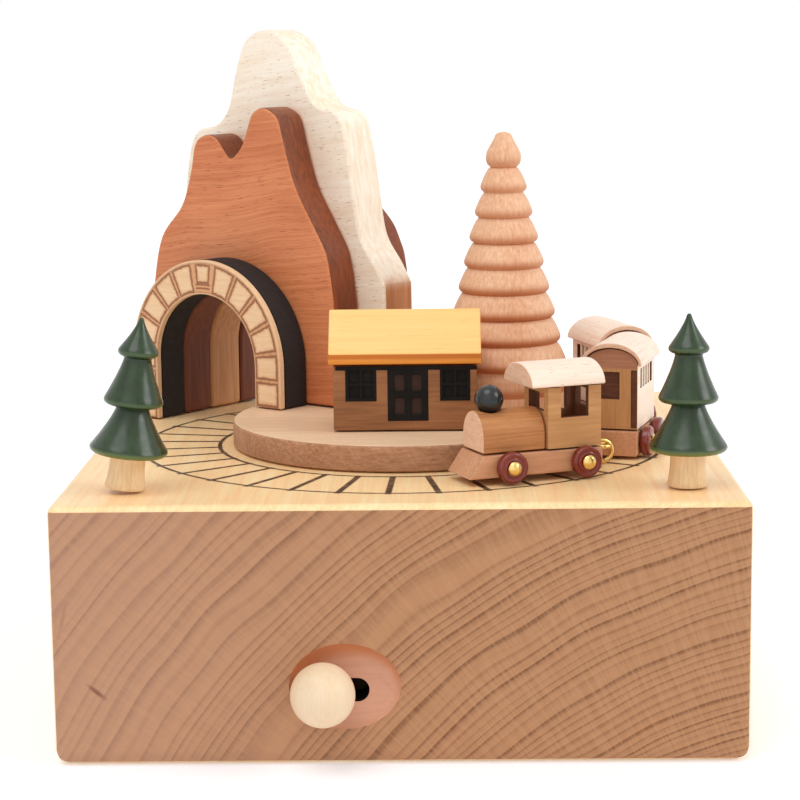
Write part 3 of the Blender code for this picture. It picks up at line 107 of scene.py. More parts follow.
# Station openings: shift from the wall's middle, width, height and width of a stile
OPENINGS = [(-7.55, 5.35, 5.75, 0.6), (0.5, 7.0, 9.2, 1.15), (8.6, 5.2, 5.75, 0.6)]
EAVES = 1.9
GREEN_TIP = 27.7
CAR_NAMES = ("car_1", "car_2")
CHASSIS_HALF_WIDTH, CHASSIS_TOP = 4.6, 4.9
BODY_FOOT = 5.2
CAR_HALF_WIDTH, CAR_HALF_LENGTH, CAR_WALL_TOP = 4.5, 7.2, 16.2
CAB_BACK, CAB_FRONT, CAB_HALF_WIDTH, CAB_TOP, CAB_ROOF_FOOT = -11.0, -1.4, 4.5, 15.2, 15.5
BOILER_R, BOILER_HEIGHT = 4.1, 6.5
CHIMNEY_X, CHIMNEY_Z = 7.1, 13.4
WHEEL_R = 2.6
WIRE_R = 0.4
VEHICLES = {"loco": (math.radians(-58.0), math.radians(9.0)),
            "car_1": (math.radians(-17.0), 0.0),
            "car_2": (math.radians(17.0), 0.0)}
AXLES = {"loco": (5.575, -7.775), "car_1": (4.5, -4.5), "car_2": (4.5, -4.5)}
WHEEL_AXIS_Z = 2.9
WHEEL_INNER = 4.9
WHEEL_THICK = 1.6
COUPLER_Z = 3.2
# Radii of the two rails, and the angle of the first sleeper in degrees
RAILS = (46.4, 32.9)
FIRST_SLEEPER = -92.3
# Knots and marks on the front: middle, lean, half length, half width, strength
KNOTS = [(-48.0, 12.2, -0.7, 2.6, 0.55, 0.75), (52.4, 6.4, 0.3, 1.1, 0.3, 0.5),
         (52.4, 41.2, 0.0, 1.4, 0.35, 0.55), (-53.0, 24.0, 1.3, 4.0, 0.5, 0.2)]
# The burnt stones: spacing round the arch, radius of their middle, half width and half height
STONE_PITCH = 4.95
STONE_MIDDLE_R = 15.65
STONE_HALF = (2.05, 2.5)
# Lower edges and radii of the small trees' tiers, from the lowest up
GREEN_TIER_EDGES = (6.4, 14.3, 22.2)
GREEN_TIER_RADII = (6.2, 4.7, 3.2)
# How far a bead draws in, as a share of its deepest, from its lower edge to its top
BEAD_PROFILE = [(0.0, 0.58), (0.05, 0.3), (0.11, 0.11), (0.19, 0.01), (0.27, 0.0), (0.36, 0.07),
                (0.52, 0.25), (0.76, 0.56)]
# Radius and height of the tree's round top
CROWN = (1.55, 0.95)
# The linked brass eyes: ring, its turn and drop, and hook
EYE_R = 1.8
EYE_TURN = math.radians(-50.0)
EYE_DROP = 0.9
HOOK_R = 1.25
# Light, and the camera's place in metres
AMBIENT = 0.64
CAMERA_PLACE = (0.00561, -0.38353, 0.11236)
CAMERA_TURN, CAMERA_DROP, CAMERA_ROLL = 0.909, 9.207, -0.666
CAMERA_LENS = 98.6
# Name, strength, spread in degrees, direction that it shines in
LAMPS = [("sun_above", 0.9, 40.0, (0.25, 0.35, -1.0)), ("sun_front", 0.3, 60.0, (0.35, 1.0, -0.35)),
         ("sun_right", 0.85, 30.0, (-0.8, 0.2, -0.5))]


def shade(red, green, blue):
    """A linear colour from three screen values of 0 to 255."""
    def linear(value):
        value /= 255
        return value / 12.92 if value <= 0.04045 else ((value + 0.055) / 1.055) ** 2.4
    return linear(red), linear(green), linear(blue)


def length_property(name, description, millimetres):
    """A length that a user can set, with its default given in millimetres."""
    return FloatProperty(name=name, description=description, default=millimetres * MM, min=0.0,
                         unit="LENGTH", subtype="DISTANCE", precision=5)


def colour_property(name, description, red, green, blue):
    """A colour that a user can set, with its default given in screen values."""
    return FloatVectorProperty(name=name, description=description, default=shade(red, green, blue),
                               min=0.0, max=1.0, size=3, subtype="COLOR")


class MusicBoxSizes(bpy.types.PropertyGroup):
    """Sizes and counts of what can be changed without moving a joint"""
    bottom_rounding: length_property("Bottom Rounding", "Rounding of the box's bottom edges", 2.4)
    side_rounding: length_property("Side Rounding", "Rounding of the box's upright edges", 1.3)
    top_rounding: length_property("Top Rounding", "Rounding of the box's top edges", 1.3)
    sleepers: IntProperty(name="Sleepers", description="Sleepers burnt round the track",
                          default=36, min=4, max=90)
    rail_line: length_property("Rail Line", "Width of a burnt rail line", 0.75)
    sleeper_line: length_property("Sleeper Line", "Width of a burnt sleeper line", 1.05)
    tree_tiers: IntProperty(name="Tree Beads", description="Beads of the tall turned tree",
                            default=9, min=2, max=14)
    tree_pitch: length_property("Bead Pitch", "Height from one bead to the next", 4.48)
    tree_growth: length_property("Bead Growth", "Radius that each lower bead gains", 1.0)
    layer_rounding: length_property("Mountain Rounding", "Rounding of the mountain layers' edges", 0.7)
    window_bars: IntProperty(name="Window Bars", description="Bars in a car's side window",
                             default=4, min=1, max=12)
    tune_pins: IntProperty(name="Tune Pins", description="Pins on the movement's cylinder",
                           default=150, min=1, max=400)


class MusicBoxColours(bpy.types.PropertyGroup):
    """Colours of the woods and paints"""
    end_grain: colour_property("Box End Grain", "Front of the box", 180, 129, 90)
    end_grain_dark: colour_property("Box Growth Rings", "Rings on the box's front", 122, 76, 44)
    box_top: colour_property("Box Top", "Top and sides of the box", 255, 230, 180)
    platform: colour_property("Platform", "Round platform", 240, 208, 174)
    red_layer: colour_property("Red Mountain", "Front and rear layers", 222, 142, 94)
    beige_layer: colour_property("Beige Mountain", "Middle layer", 255, 246, 230)
    roof: colour_property("Roof", "Station roof", 250, 204, 128)
    green: colour_property("Green Paint", "Small trees", 24, 44, 12)
    wheels: colour_property("Wheel Lacquer", "Train wheels", 120, 30, 16)
    knob: colour_property("Knob", "Ball knob", 238, 214, 184)


class Term:
    """A value in a node tree. Arithmetic with it adds the nodes that work it out."""

    def __init__(self, wiring, socket):
        self.wiring = wiring
        self.socket = socket

    def __add__(self, other):
        return self.wiring.math("ADD", self, other)

    def __sub__(self, other):
        return self.wiring.math("SUBTRACT", self, other)

    def __rsub__(self, other):
        return self.wiring.math("SUBTRACT", other, self)

    def __mul__(self, other):
        return self.wiring.math("MULTIPLY", self, other)

    def __truediv__(self, other):
        return self.wiring.math("DIVIDE", self, other)

    def __rtruediv__(self, other):
        return self.wiring.math("DIVIDE", other, self)

    def __abs__(self):
        return self.wiring.math("ABSOLUTE", self)


class Wiring:
    """Puts nodes into one tree and links them, so that a finish reads as a list of steps."""

    def __init__(self, tree):
        self.tree = tree

    def node(self, kind, feeds=None, **settings):
        """Add a node, set its properties and feed its named inputs."""
        made = self.tree.nodes.new(kind)
        for key, value in settings.items():
            setattr(made, key, value)
        for socket, value in (feeds or {}).items():
            self.feed(made.inputs[socket], value)
        return made

    def term(self, kind, feeds=None, output=0, **settings):
        """Add a node in the same way and take one of its outputs."""
        return Term(self, self.node(kind, feeds, **settings).outputs[output])

    def feed(self, socket, value):
        """Link an output to the socket, or set its value."""
        if isinstance(value, Term):
            value = value.socket
        if isinstance(value, bpy.types.NodeSocket):
            self.tree.links.new(value, socket)
        elif socket.type == "RGBA":
            socket.default_value = (*value[:3], 1.0)
        else:
            socket.default_value = value

    def math(self, operation, *values, clamp=False):
        """One arithmetic step."""
        made = self.node("ShaderNodeMath", operation=operation, use_clamp=clamp)
        for socket, value in zip(made.inputs, values):
            self.feed(socket, value)
        return Term(self, made.outputs[0])

    def larger(self, first, second):
        """The larger of two values."""
        return self.math("MAXIMUM", first, second)

    def smaller(self, first, second):
        """The smaller of two values."""
        return self.math("MINIMUM", first, second)

    def away(self, across, up):
        """Distance from a middle, from two offsets at a right angle."""
        return self.math("SQRT", across * across + up * up)

    def step(self, value, low, high, first=0.0, last=1.0, kind="SMOOTHSTEP"):
        """Goes from first to last while the value goes from low to high."""
        return self.term("ShaderNodeMapRange", {"Value": value, "From Min": low, "From Max": high,
                                                "To Min": first, "To Max": last}, interpolation_type=kind)

    def mix(self, factor, first, second):
        """A blend of two colours."""
        return self.term("ShaderNodeMix", {0: factor, 6: first, 7: second}, 2, data_type="RGBA")

    def noise(self, vector, detail=2.0, roughness=0.5, distortion=0.0):
        """Noise in space, a cell across each unit."""
        return self.term("ShaderNodeTexNoise", {"Vector": vector, "Scale": 1.0, "Detail": detail,
                                                "Roughness": roughness, "Distortion": distortion})

    def noise_along(self, value, detail=2.0):
        """Noise along one value."""
        return self.term("ShaderNodeTexNoise", {"W": value, "Scale": 1.0, "Detail": detail,
                                                "Roughness": 0.5}, noise_dimensions="1D")

    def split(self, vector):
        """The three parts of a vector."""
        parts = self.node("ShaderNodeSeparateXYZ", {0: vector}).outputs
        return [Term(self, part) for part in parts]

    def join(self, x, y, z):
        """A vector from three parts."""
        return self.term("ShaderNodeCombineXYZ", {0: x, 1: y, 2: z})

    def scaled(self, vector, factors):
        """A vector times three factors."""
        return self.term("ShaderNodeVectorMath", {0: vector, 1: factors}, operation="MULTIPLY")

    def place(self):
        """The point's place in its piece's own frame, in millimetres."""
        return self.term("ShaderNodeAttribute", None, "Vector", attribute_name=PLACE)

    def world_place(self):
        """Object coordinates in millimetres, for pieces that keep their CAD mesh."""
        return self.scaled(self.term("ShaderNodeTexCoord", None, "Object"), (1 / MM,) * 3)

    def burnt(self, distance, width, softness):
        """The mask of a burnt line, from the distance to its middle."""
        feeds = {"Distance": distance, "Width": width, "Softness": softness}
        return self.group("burnt_line", feeds)["Mask"]

    def burnt_lines(self, distance, middles, width, softness):
        """The mask of burnt lines whose middles are at the given distances."""
        mask = self.burnt(distance - middles[0], width, softness)
        for middle in middles[1:]:
            mask = self.larger(mask, self.burnt(distance - middle, width, softness))
        return mask

    def group(self, name, feeds):
        """A shared node group with its named inputs fed: its outputs by name."""
        return self.terms(self.node("ShaderNodeGroup", feeds, node_tree=shared(name)))

    def terms(self, node):
        """The outputs of a node by name."""
        return {socket.name: Term(self, socket) for socket in node.outputs}


def new_group(name, takes, gives, kind="ShaderNodeTree"):
    """A node group with named and typed sockets: its wiring, its inputs' values and its outputs."""
    tree = bpy.data.node_groups.new(name, kind)
    for label, socket_type, value in takes:
        socket = tree.interface.new_socket(label, in_out="INPUT", socket_type="NodeSocket" + socket_type)
        if value is not None:
            socket.default_value = value
    for label, socket_type in gives:
        tree.interface.new_socket(label, in_out="OUTPUT", socket_type="NodeSocket" + socket_type)
    wiring = Wiring(tree)
    return wiring, wiring.terms(wiring.node("NodeGroupInput")), wiring.node("NodeGroupOutput").inputs


WHITE = (1.0, 1.0, 1.0, 1.0)


def group_wood_grain():
    """Streaks and short dark flecks that run along X."""
    wiring, takes, gives = new_group("wood_grain", [
        ("Place", "Vector", None), ("Light", "Color", WHITE),
        ("Dark", "Color", WHITE), ("Fleck Colour", "Color", WHITE),
        ("Streak Length", "Float", 14.0), ("Streak Width", "Float", 0.7),
        ("Contrast", "Float", 1.0), ("Flecks", "Float", 0.5),
        ("Fleck Length", "Float", 1.8), ("Fleck Width", "Float", 0.16)],
        [("Colour", "Color"), ("Height", "Float")])
    x, y, z = wiring.split(takes["Place"])

    def stretched(along, across):
        return wiring.join(x / along, y / across, z / across)

    broad = wiring.noise(stretched(takes["Streak Length"], takes["Streak Width"]), 4.0, 0.6, 0.4)
    slow = wiring.noise(wiring.scaled(takes["Place"], (0.05, 0.12, 0.12)), 2.0)
    tone = (broad - 0.5) * takes["Contrast"] * 2.2 + (slow - 0.5) * takes["Contrast"] * 1.2 + 0.5
    spots = wiring.noise(stretched(takes["Fleck Length"], takes["Fleck Width"]), 1.0, 0.4)
    fleck = wiring.math("MULTIPLY", wiring.step(spots, 0.66, 0.75), takes["Flecks"], clamp=True)
    streaked = wiring.mix(wiring.math("ADD", tone, 0.0, clamp=True), takes["Light"], takes["Dark"])
    wiring.feed(gives["Colour"], wiring.mix(fleck, streaked, takes["Fleck Colour"]))
    wiring.feed(gives["Height"], broad * 0.4 - fleck)
    return wiring.tree


def group_growth_rings():
    """Rings round a tree's heart that lies along Y, away from the piece, with rays across them."""
    wiring, takes, gives = new_group("growth_rings", [
        ("Place", "Vector", None), ("Heart X", "Float", 80.0),
        ("Heart Z", "Float", -74.0), ("Rings", "Float", 72.0),
        ("Waviness", "Float", 1.5)],
        [("Tone", "Float"), ("Rays", "Float")])
    x, y, z = wiring.split(takes["Place"])
    across = x - takes["Heart X"]
    up = z - takes["Heart Z"]
    distance = wiring.away(across, up)
    wave = wiring.noise(wiring.scaled(takes["Place"], (0.022, 0.004, 0.022)), 2.0)
    waved = distance + (wave - 0.5) * takes["Waviness"] * 4.0
    spread = wiring.noise_along(distance * 0.11, 1.0)
    turns = wiring.math("LOGARITHM", waved, math.e) * takes["Rings"] + spread * 3.0
    late = wiring.math("FRACT", turns)
    own_noise = wiring.noise_along(wiring.math("FLOOR", turns) * 0.77)
    strength = wiring.step(own_noise, 0.35, 0.65, 0.45, 1.0)
    ring = late * 0.6 + wiring.step(late, 0.45, 0.85, 0.0, 0.4)
    closed = ring * wiring.step(late, 0.84, 1.0, 1.0, 0.0) * strength
    fine = wiring.step(wiring.noise_along(turns * 3.1, 2.0), 0.35, 0.65)
    wiring.feed(gives["Tone"], closed * 0.85 + fine * 0.15)
    angle = wiring.math("ARCTAN2", up, across)
    rayed = wiring.join(distance * 0.22, angle * 260.0, y * 0.3)
    wiring.feed(gives["Rays"], wiring.step(wiring.noise(rayed, 2.0), 0.35, 0.7))
    return wiring.tree


def group_burnt_line():
    """A line burnt into wood, from the distance to its middle."""
    wiring, takes, gives = new_group("burnt_line", [
        ("Distance", "Float", 0.0), ("Width", "Float", 0.5),
        ("Softness", "Float", 0.15)], [("Mask", "Float")])
    half = takes["Width"] * 0.5
    near = half - takes["Softness"]
    far = half + takes["Softness"]
    wiring.feed(gives["Mask"], wiring.step(abs(takes["Distance"]), near, far, 1.0, 0.0))
    return wiring.tree


def group_rectangle():
    """Distance to the outline of a rectangle round the origin, less than 0 inside it."""
    wiring, takes, gives = new_group("rectangle", [
        ("X", "Float", 0.0), ("Y", "Float", 0.0),
        ("Half Width", "Float", 1.0), ("Half Height", "Float", 1.0)],
        [("Distance", "Float")])
    beside = abs(takes["X"]) - takes["Half Width"]
    above = abs(takes["Y"]) - takes["Half Height"]
    wiring.feed(gives["Distance"], wiring.larger(beside, above))
    return wiring.tree


def group_surface_marks():
    """Faint unevenness of a paint or metal, for its roughness."""
    wiring, takes, gives = new_group("surface_marks", [
        ("Place", "Vector", None), ("Size", "Float", 3.0),
        ("Smooth", "Float", 0.2), ("Rough", "Float", 0.4)],
        [("Roughness", "Float"), ("Height", "Float")])
    cell = 1.0 / takes["Size"]
    cells = wiring.term("ShaderNodeVectorMath", {0: takes["Place"], "Scale": cell}, operation="SCALE")
    uneven = wiring.noise(cells, 4.0, 0.6)
    wiring.feed(gives["Roughness"], wiring.step(uneven, 0.35, 0.65, takes["Smooth"], takes["Rough"]))
    wiring.feed(gives["Height"], uneven)
    return wiring.tree


SHARED_GROUPS = {"wood_grain": group_wood_grain, "growth_rings": group_growth_rings,
                 "burnt_line": group_burnt_line, "rectangle": group_rectangle,
                 "surface_marks": group_surface_marks}


def shared(name):
    """The shared node group of that name, built on first use."""
    return bpy.data.node_groups.get(name) or SHARED_GROUPS[name]()


def finish_name(name):
    """The name of a finish's material, apart from the names of the CAD colours."""
    return f"{name}_finish"


def new_finish(name, roughness=0.5, metallic=0.0, specular=0.3, **constants):
    """A material with its Principled shader set: the material, its wiring and its shader."""
    material = bpy.data.materials.new(finish_name(name))
    material.use_nodes = True
    shader = material.node_tree.nodes["Principled BSDF"]
    shader.inputs["Roughness"].default_value = roughness
    shader.inputs["Metallic"].default_value = metallic
    shader.inputs["Specular IOR Level"].default_value = specular
    for label, value in constants.items():
        shader.inputs[label.replace("_", " ").title()].default_value = value
    return material, Wiring(material.node_tree), shader


# Each wood: grain axis, light, dark and fleck colours in screen values or as the name of a colour
# setting, streak length and width, contrast, flecks, fleck length and width, roughness
WOODS = {
    "dish_wood": ("X", (222, 170, 142), (208, 152, 124), (196, 136, 108), 8, 0.8, 0.7, 0.2, 2.0, 0.2, 0.5),
    "platform_top": ("X", "platform", (226, 184, 146), (196, 146, 106), 9, 0.6, 0.9, 0.5, 1.4, 0.16, 0.55),
    "platform_rim": ("X", (208, 160, 124), (166, 116, 84), (126, 80, 54), 3, 0.5, 1.2, 0.7, 0.8, 0.2, 0.6),
    "red_side": ("Y", (152, 78, 42), (106, 54, 30), (80, 38, 22), 16, 0.6, 1.0, 0.3, 3.0, 0.2, 0.36),
    # The pale layer's edge has two copies here: the near-white one is a painted light for where the edge
    # slopes up, and the tan one is a painted shade for the upright edge low down.
    "beige_side": ("Y", (255, 246, 230), (246, 222, 192), (222, 184, 142),
        40, 0.9, 1.4, 0.05, 3.0, 0.2, 0.5),
    "beige_side_low": ("Y", (214, 152, 100), (176, 112, 68), (150, 90, 52),
        40, 0.9, 1.4, 0.05, 3.0, 0.2, 0.5),
    "house_wall": ("X", (166, 110, 68), (128, 82, 48), (100, 60, 36), 12, 0.6, 1.0, 0.3, 2.0, 0.2, 0.5),
    "tree_wood": ("Z", (242, 196, 160), (218, 160, 120), (180, 114, 76),
        10, 0.5, 1.0, 0.45, 2.2, 0.16, 0.5),
    "cream_wood": ("Z", (240, 214, 174), (222, 188, 142), (192, 152, 104),
        12, 0.45, 1.0, 0.3, 2.4, 0.16, 0.5),
    "chassis_wood": ("X", (216, 162, 124), (192, 134, 98), (160, 100, 70),
        9, 0.5, 1.0, 0.4, 1.4, 0.16, 0.5),
    "boiler_wood": ("X", (198, 136, 84), (162, 102, 58), (130, 76, 42), 12, 0.5, 1.1, 0.4, 1.8, 0.16, 0.5),
    "train_end_grain": ("X", (236, 196, 166), (222, 174, 142), (190, 134, 104),
        1.5, 0.6, 1.0, 0.6, 0.5, 0.3, 0.6),
    "train_roof": ("X", (255, 238, 220), (244, 214, 190), (206, 156, 130),
        9, 0.5, 0.9, 0.7, 1.4, 0.16, 0.5),
    "cab_ply": ("X", (208, 156, 104), (182, 128, 80), (156, 102, 60), 10, 0.6, 0.9, 0.3, 2.0, 0.16, 0.55),
    "car_ply": ("X", (254, 238, 220), (246, 220, 196), (222, 184, 156), 10, 0.6, 0.8, 0.2, 2.0, 0.16, 0.55),
    "charred_edge": ("X", (118, 72, 48), (90, 52, 36), (66, 38, 26), 4, 0.4, 1.0, 0.3, 1.0, 0.2, 0.7),
    "gable_wood": ("Y", (188, 132, 102), (160, 108, 82), (130, 82, 60), 6, 0.5, 1.0, 0.3, 1.6, 0.2, 0.6),
    "red_inside": ("Y", (134, 78, 54), (104, 58, 42), (82, 46, 32), 14, 0.6, 1.0, 0.2, 3.0, 0.2, 0.6),
    "beige_inside": ("Y", (216, 162, 114), (186, 132, 90), (156, 106, 70),
        14, 0.6, 1.0, 0.2, 3.0, 0.2, 0.6),
    # The cab's inner faces: a darker copy of its plywood, a painted shade.
    "cab_inside": ("Z", (150, 96, 62), (112, 68, 44), (78, 46, 30), 8, 0.6, 1.1, 0.3, 2.0, 0.16, 0.6),
    "box_long_grain": ("Y", "box_top", (255, 206, 148), (214, 148, 92), 20, 0.8, 0.9, 0.5, 1.6, 0.17, 0.42),
    "red_face": ("X", "red_layer", (192, 108, 66), (140, 74, 44), 18, 0.42, 0.9, 0.8, 2.6, 0.14, 0.42),
    "beige_face": ("X", "beige_layer", (240, 216, 188), (186, 142, 108),
        12, 0.9, 0.7, 0.95, 2.0, 0.17, 0.5),
    "facade_veneer": ("X", (242, 208, 168), (228, 188, 146), (200, 150, 104),
        9, 0.6, 0.9, 0.4, 1.4, 0.15, 0.6),
    "roof_wood": ("Z", "roof", (242, 190, 106), (212, 152, 72), 22, 0.5, 0.7, 0.5, 4.0, 0.14, 0.38),
    "fascia_wood": ("Z", (238, 158, 62), (218, 134, 46), (182, 100, 28), 14, 0.5, 0.9, 0.3, 3.0, 0.15, 0.42),
    "cover_board": ("X", (214, 176, 128), (192, 150, 102), (156, 112, 70),
        22, 1.1, 1.1, 0.5, 3.0, 0.2, 0.7),
    "knob_wood": ("Z", "knob", (232, 204, 166), (214, 178, 138), 14, 0.5, 1.0, 0.3, 2.4, 0.15, 0.45),
    "inner_wood": ("Y", (206, 160, 116), (184, 136, 94), (150, 106, 70), 20, 1.0, 1.0, 0.3, 2.0, 0.2, 0.7),
}
GRAIN_ORDER = {"X": (0, 1, 2), "Y": (1, 0, 2), "Z": (2, 0, 1)}
GRAIN_COLOURS = ("Light", "Dark", "Fleck Colour")
GRAIN_SIZES = ("Streak Length", "Streak Width", "Contrast", "Flecks", "Fleck Length", "Fleck Width")


def colour_of(value):
    """A linear colour from three screen values or from the name of a colour setting."""
    if isinstance(value, str):
        return tuple(getattr(bpy.context.scene.music_box_colours, value))
    return shade(*value)


def table_grain(wiring, place, source, axis=None):
    """The grain of a wood from the table, along its own axis or another one."""
    own_axis, *colours_and_sizes = WOODS[source]
    parts = wiring.split(place)
    feeds = {"Place": wiring.join(*(parts[i] for i in GRAIN_ORDER[axis or own_axis]))}
    feeds.update(zip(GRAIN_COLOURS, map(colour_of, colours_and_sizes[:3])))
    feeds.update(zip(GRAIN_SIZES, colours_and_sizes[3:]))
    return wiring.group("wood_grain", feeds)


def dress(wiring, shader, colour, height=None, strength=0.25):
    """Lead a colour into the shader, and a height where there is one."""
    wiring.feed(shader.inputs["Base Color"], colour)
    if height is not None:
        bump = wiring.term("ShaderNodeBump", {"Strength": strength, "Distance": RELIEF, "Height": height})
        wiring.feed(shader.inputs["Normal"], bump)


def start_wood(name, source=None, axis=None, coat=0.0):
    """A finish of a wood from the table: its material, wiring, shader, place and grain."""
    source = source or name
    material, wiring, shader = new_finish(name, WOODS[source][-1], coat_weight=coat)
    place = wiring.place()
    return material, wiring, shader, place, table_grain(wiring, place, source, axis)


def make_wood(name, source=None, axis=None, bump=0.25, coat=0.0):
    """A plain wood from the table."""
    material, wiring, shader, _, grain = start_wood(name, source, axis, coat)
    dress(wiring, shader, grain["Colour"], grain["Height"], bump)
    return material


def make_tree_wood(name):
    """Turned wood of the tall tree, with an orange-brown painted shade round the lower edge of each bead."""
    sizes = bpy.context.scene.music_box_sizes
    material, wiring, shader, place, grain = start_wood(name)
    z = wiring.split(place)[2]
    pitch = sizes.tree_pitch / MM
    beads = (sizes.tree_tiers - 1) * pitch
    down = (TREE_TIP + beads + TREE_SKIRT) / 2 - z
    above_edge = wiring.math("FRACT", (TREE_TIP - down) * (1 / pitch))
    # Painted shade: orange-brown is mixed in over the lowest part of each bead, more so on the lower beads.
    painted_edge_shade = wiring.step(above_edge, 0.12, 0.5, 1.0, 0.0)
    growing = wiring.step(down, 2.0, TREE_TIP + beads, 0.45, 0.9)
    low = painted_edge_shade * wiring.step(down, 1.8, 2.2) * growing
    dress(wiring, shader, wiring.mix(low, grain["Colour"], shade(190, 110, 62)), grain["Height"])
    return material


def box_rings(wiring):
    """The growth rings of the box's block of beech."""
    return wiring.group("growth_rings", {"Place": wiring.place()})


def make_box_end_grain(name):
    """Front and back of the box: growth rings cut across, with faint rays and a few knots."""
    material, wiring, shader = new_finish(name, 0.5)
    rings = box_rings(wiring)
    x, _, z = wiring.split(wiring.place())
    ringed = wiring.mix(wiring.step(rings["Tone"], 0.0, 0.95), colour_of("end_grain"),
                        colour_of("end_grain_dark"))
    pink = wiring.step(x, -60.0, 10.0, 0.5, 0.0)
    warmed = wiring.mix(pink, ringed, shade(194, 150, 126))
    right = wiring.step(x, -25.0, 35.0, 0.22, 0.34)
    rayed = wiring.mix(rings["Rays"] * right, warmed, shade(198, 150, 108))
    pores = wiring.noise(wiring.scaled(wiring.place(), (2.6, 0.5, 2.6)), 2.0, 0.7)
    final = wiring.mix(wiring.step(pores, 0.5, 0.72, 0.0, 0.28), rayed, shade(176, 124, 88))
    for middle_x, middle_z, lean, long, wide, strength in KNOTS:
        dx = x - middle_x
        dz = z - middle_z
        along = dx * math.cos(lean) + dz * math.sin(lean)
        beside = dz * math.cos(lean) - dx * math.sin(lean)
        away = wiring.away(along / long, beside / wide)
        final = wiring.mix(wiring.step(away, 0.2, 1.0, strength, 0.0), final, shade(112, 62, 38))
    dress(wiring, shader, final, rings["Tone"] - pores, 0.12)
    return material


def make_dish_wood(name):
    """Smooth pale hollow, with a painted shade of orange-brown along its upper left side."""
    material, wiring, shader, place, grain = start_wood(name)
    x, _, z = wiring.split(place)
    # Painted shade: outside an ellipse set down and to the right of the dish, its upper left wall is mixed
    # towards orange-brown.
    across = (x - (DISH_CENTRE[0] + 1.2)) / (DISH_SIZE[0] / 2)
    up = (z - (DISH_CENTRE[1] - 1.5)) / (DISH_SIZE[1] / 2)
    away = wiring.away(across, up)
    rim = wiring.step(away, 0.72, 1.08, 0.0, 0.9)
    dress(wiring, shader, wiring.mix(rim, grain["Colour"], shade(198, 124, 78)), grain["Height"], 0.15)
    return material


def make_box_long_grain(name):
    """Top and sides of the box, with the track burnt into the top."""
    sizes = bpy.context.scene.music_box_sizes
    material, wiring, shader, place, grain = start_wood(name, coat=0.12)
    shader.inputs["Coat Roughness"].default_value = 0.25
    x, y, z = wiring.split(place)
    rings = box_rings(wiring)
    lined = wiring.mix(rings["Tone"] * 0.3, grain["Colour"], shade(232, 180, 122))
    radius = wiring.away(x, y)
    angle = wiring.math("DEGREES", wiring.math("ARCTAN2", y, x))
    burnt = wiring.burnt_lines(radius, RAILS, sizes.rail_line / MM, 0.14)
    count = sizes.sleepers
    turn = (angle - FIRST_SLEEPER) * (count / 360)
    off = turn - wiring.math("ROUND", turn)
    aside = off * radius * (2 * math.pi / count)
    sleeper = wiring.burnt(aside, sizes.sleeper_line / MM, 0.14)
    past_inner = wiring.step(radius, RAILS[1] - 0.7, RAILS[1] - 0.3)
    within = past_inner * wiring.step(radius, RAILS[0] + 0.5, RAILS[0] + 1.1, 1.0, 0.0)
    burnt = wiring.larger(burnt, sleeper * within)
    on_top = wiring.step(z, BOX_TOP - 0.3, BOX_TOP - 0.1)
    patchy = wiring.step(wiring.noise(wiring.scaled(place, (0.5, 0.5, 0.5)), 3.0), 0.3, 0.6, 0.86, 1.0)
    mark = burnt * on_top * patchy
    sunk = grain["Height"] - mark * 2.0
    dress(wiring, shader, wiring.mix(mark, lined, shade(56, 38, 28)), sunk, 0.3)
    return material


def make_mountain_face(name):
    """Broad face of a mountain layer, its grain nearly level."""
    material, wiring, shader = new_finish(name, WOODS[name][-1])
    place = wiring.place()
    x, y, z = wiring.split(place)
    drift = wiring.noise(wiring.scaled(place, (0.03, 0.03, 0.03))) - 0.5
    level = y + x * -0.13 + drift * 5.0
    grain = table_grain(wiring, wiring.join(x, level, z), name)
    dress(wiring, shader, grain["Colour"], grain["Height"], 0.2)
    return material


def make_beige_side(name):
    """Edge of the pale layer in two painted tones: nearly white above, where the edge slopes up into the
    light, and striped tan low down, where it stands upright in shade.
    """
    material, wiring, shader, place, upper = start_wood(name)
    lower = table_grain(wiring, place, "beige_side_low")
    # Painted light and shade: the near-white copy above this height, the tan copy below it.
    low = wiring.step(wiring.split(place)[1], 25.5, 29.5, 1.0, 0.0)
    dress(wiring, shader, wiring.mix(low, upper["Colour"], lower["Colour"]), upper["Height"], 0.2)
    return material


def make_platform_rim(name):
    """Edge of the round platform: slanting streaks, with a painted shade darkening it towards its foot."""
    material, wiring, shader, place, grain = start_wood(name)
    x, y, z = wiring.split(place)
    round_rim = wiring.math("ARCTAN2", y, x) * DISC_R
    slant = wiring.join(round_rim + z * 0.6, z * 0.2, 0.0)
    streaks = wiring.step(wiring.noise(wiring.scaled(slant, (1.1, 0.4, 1.0)), 3.0, 0.6), 0.35, 0.65)
    dark, fleck = WOODS[name][2:4]
    streaked = wiring.mix(streaks * 0.4, grain["Colour"], shade(*dark))
    # Painted shade: the rim is mixed towards its fleck colour towards its foot.
    low = wiring.step(z, DISC_LOW.z, DISC_HIGH.z, 0.25, 0.0)
    dress(wiring, shader, wiring.mix(low, streaked, shade(*fleck)), grain["Height"], 0.3)
    return material


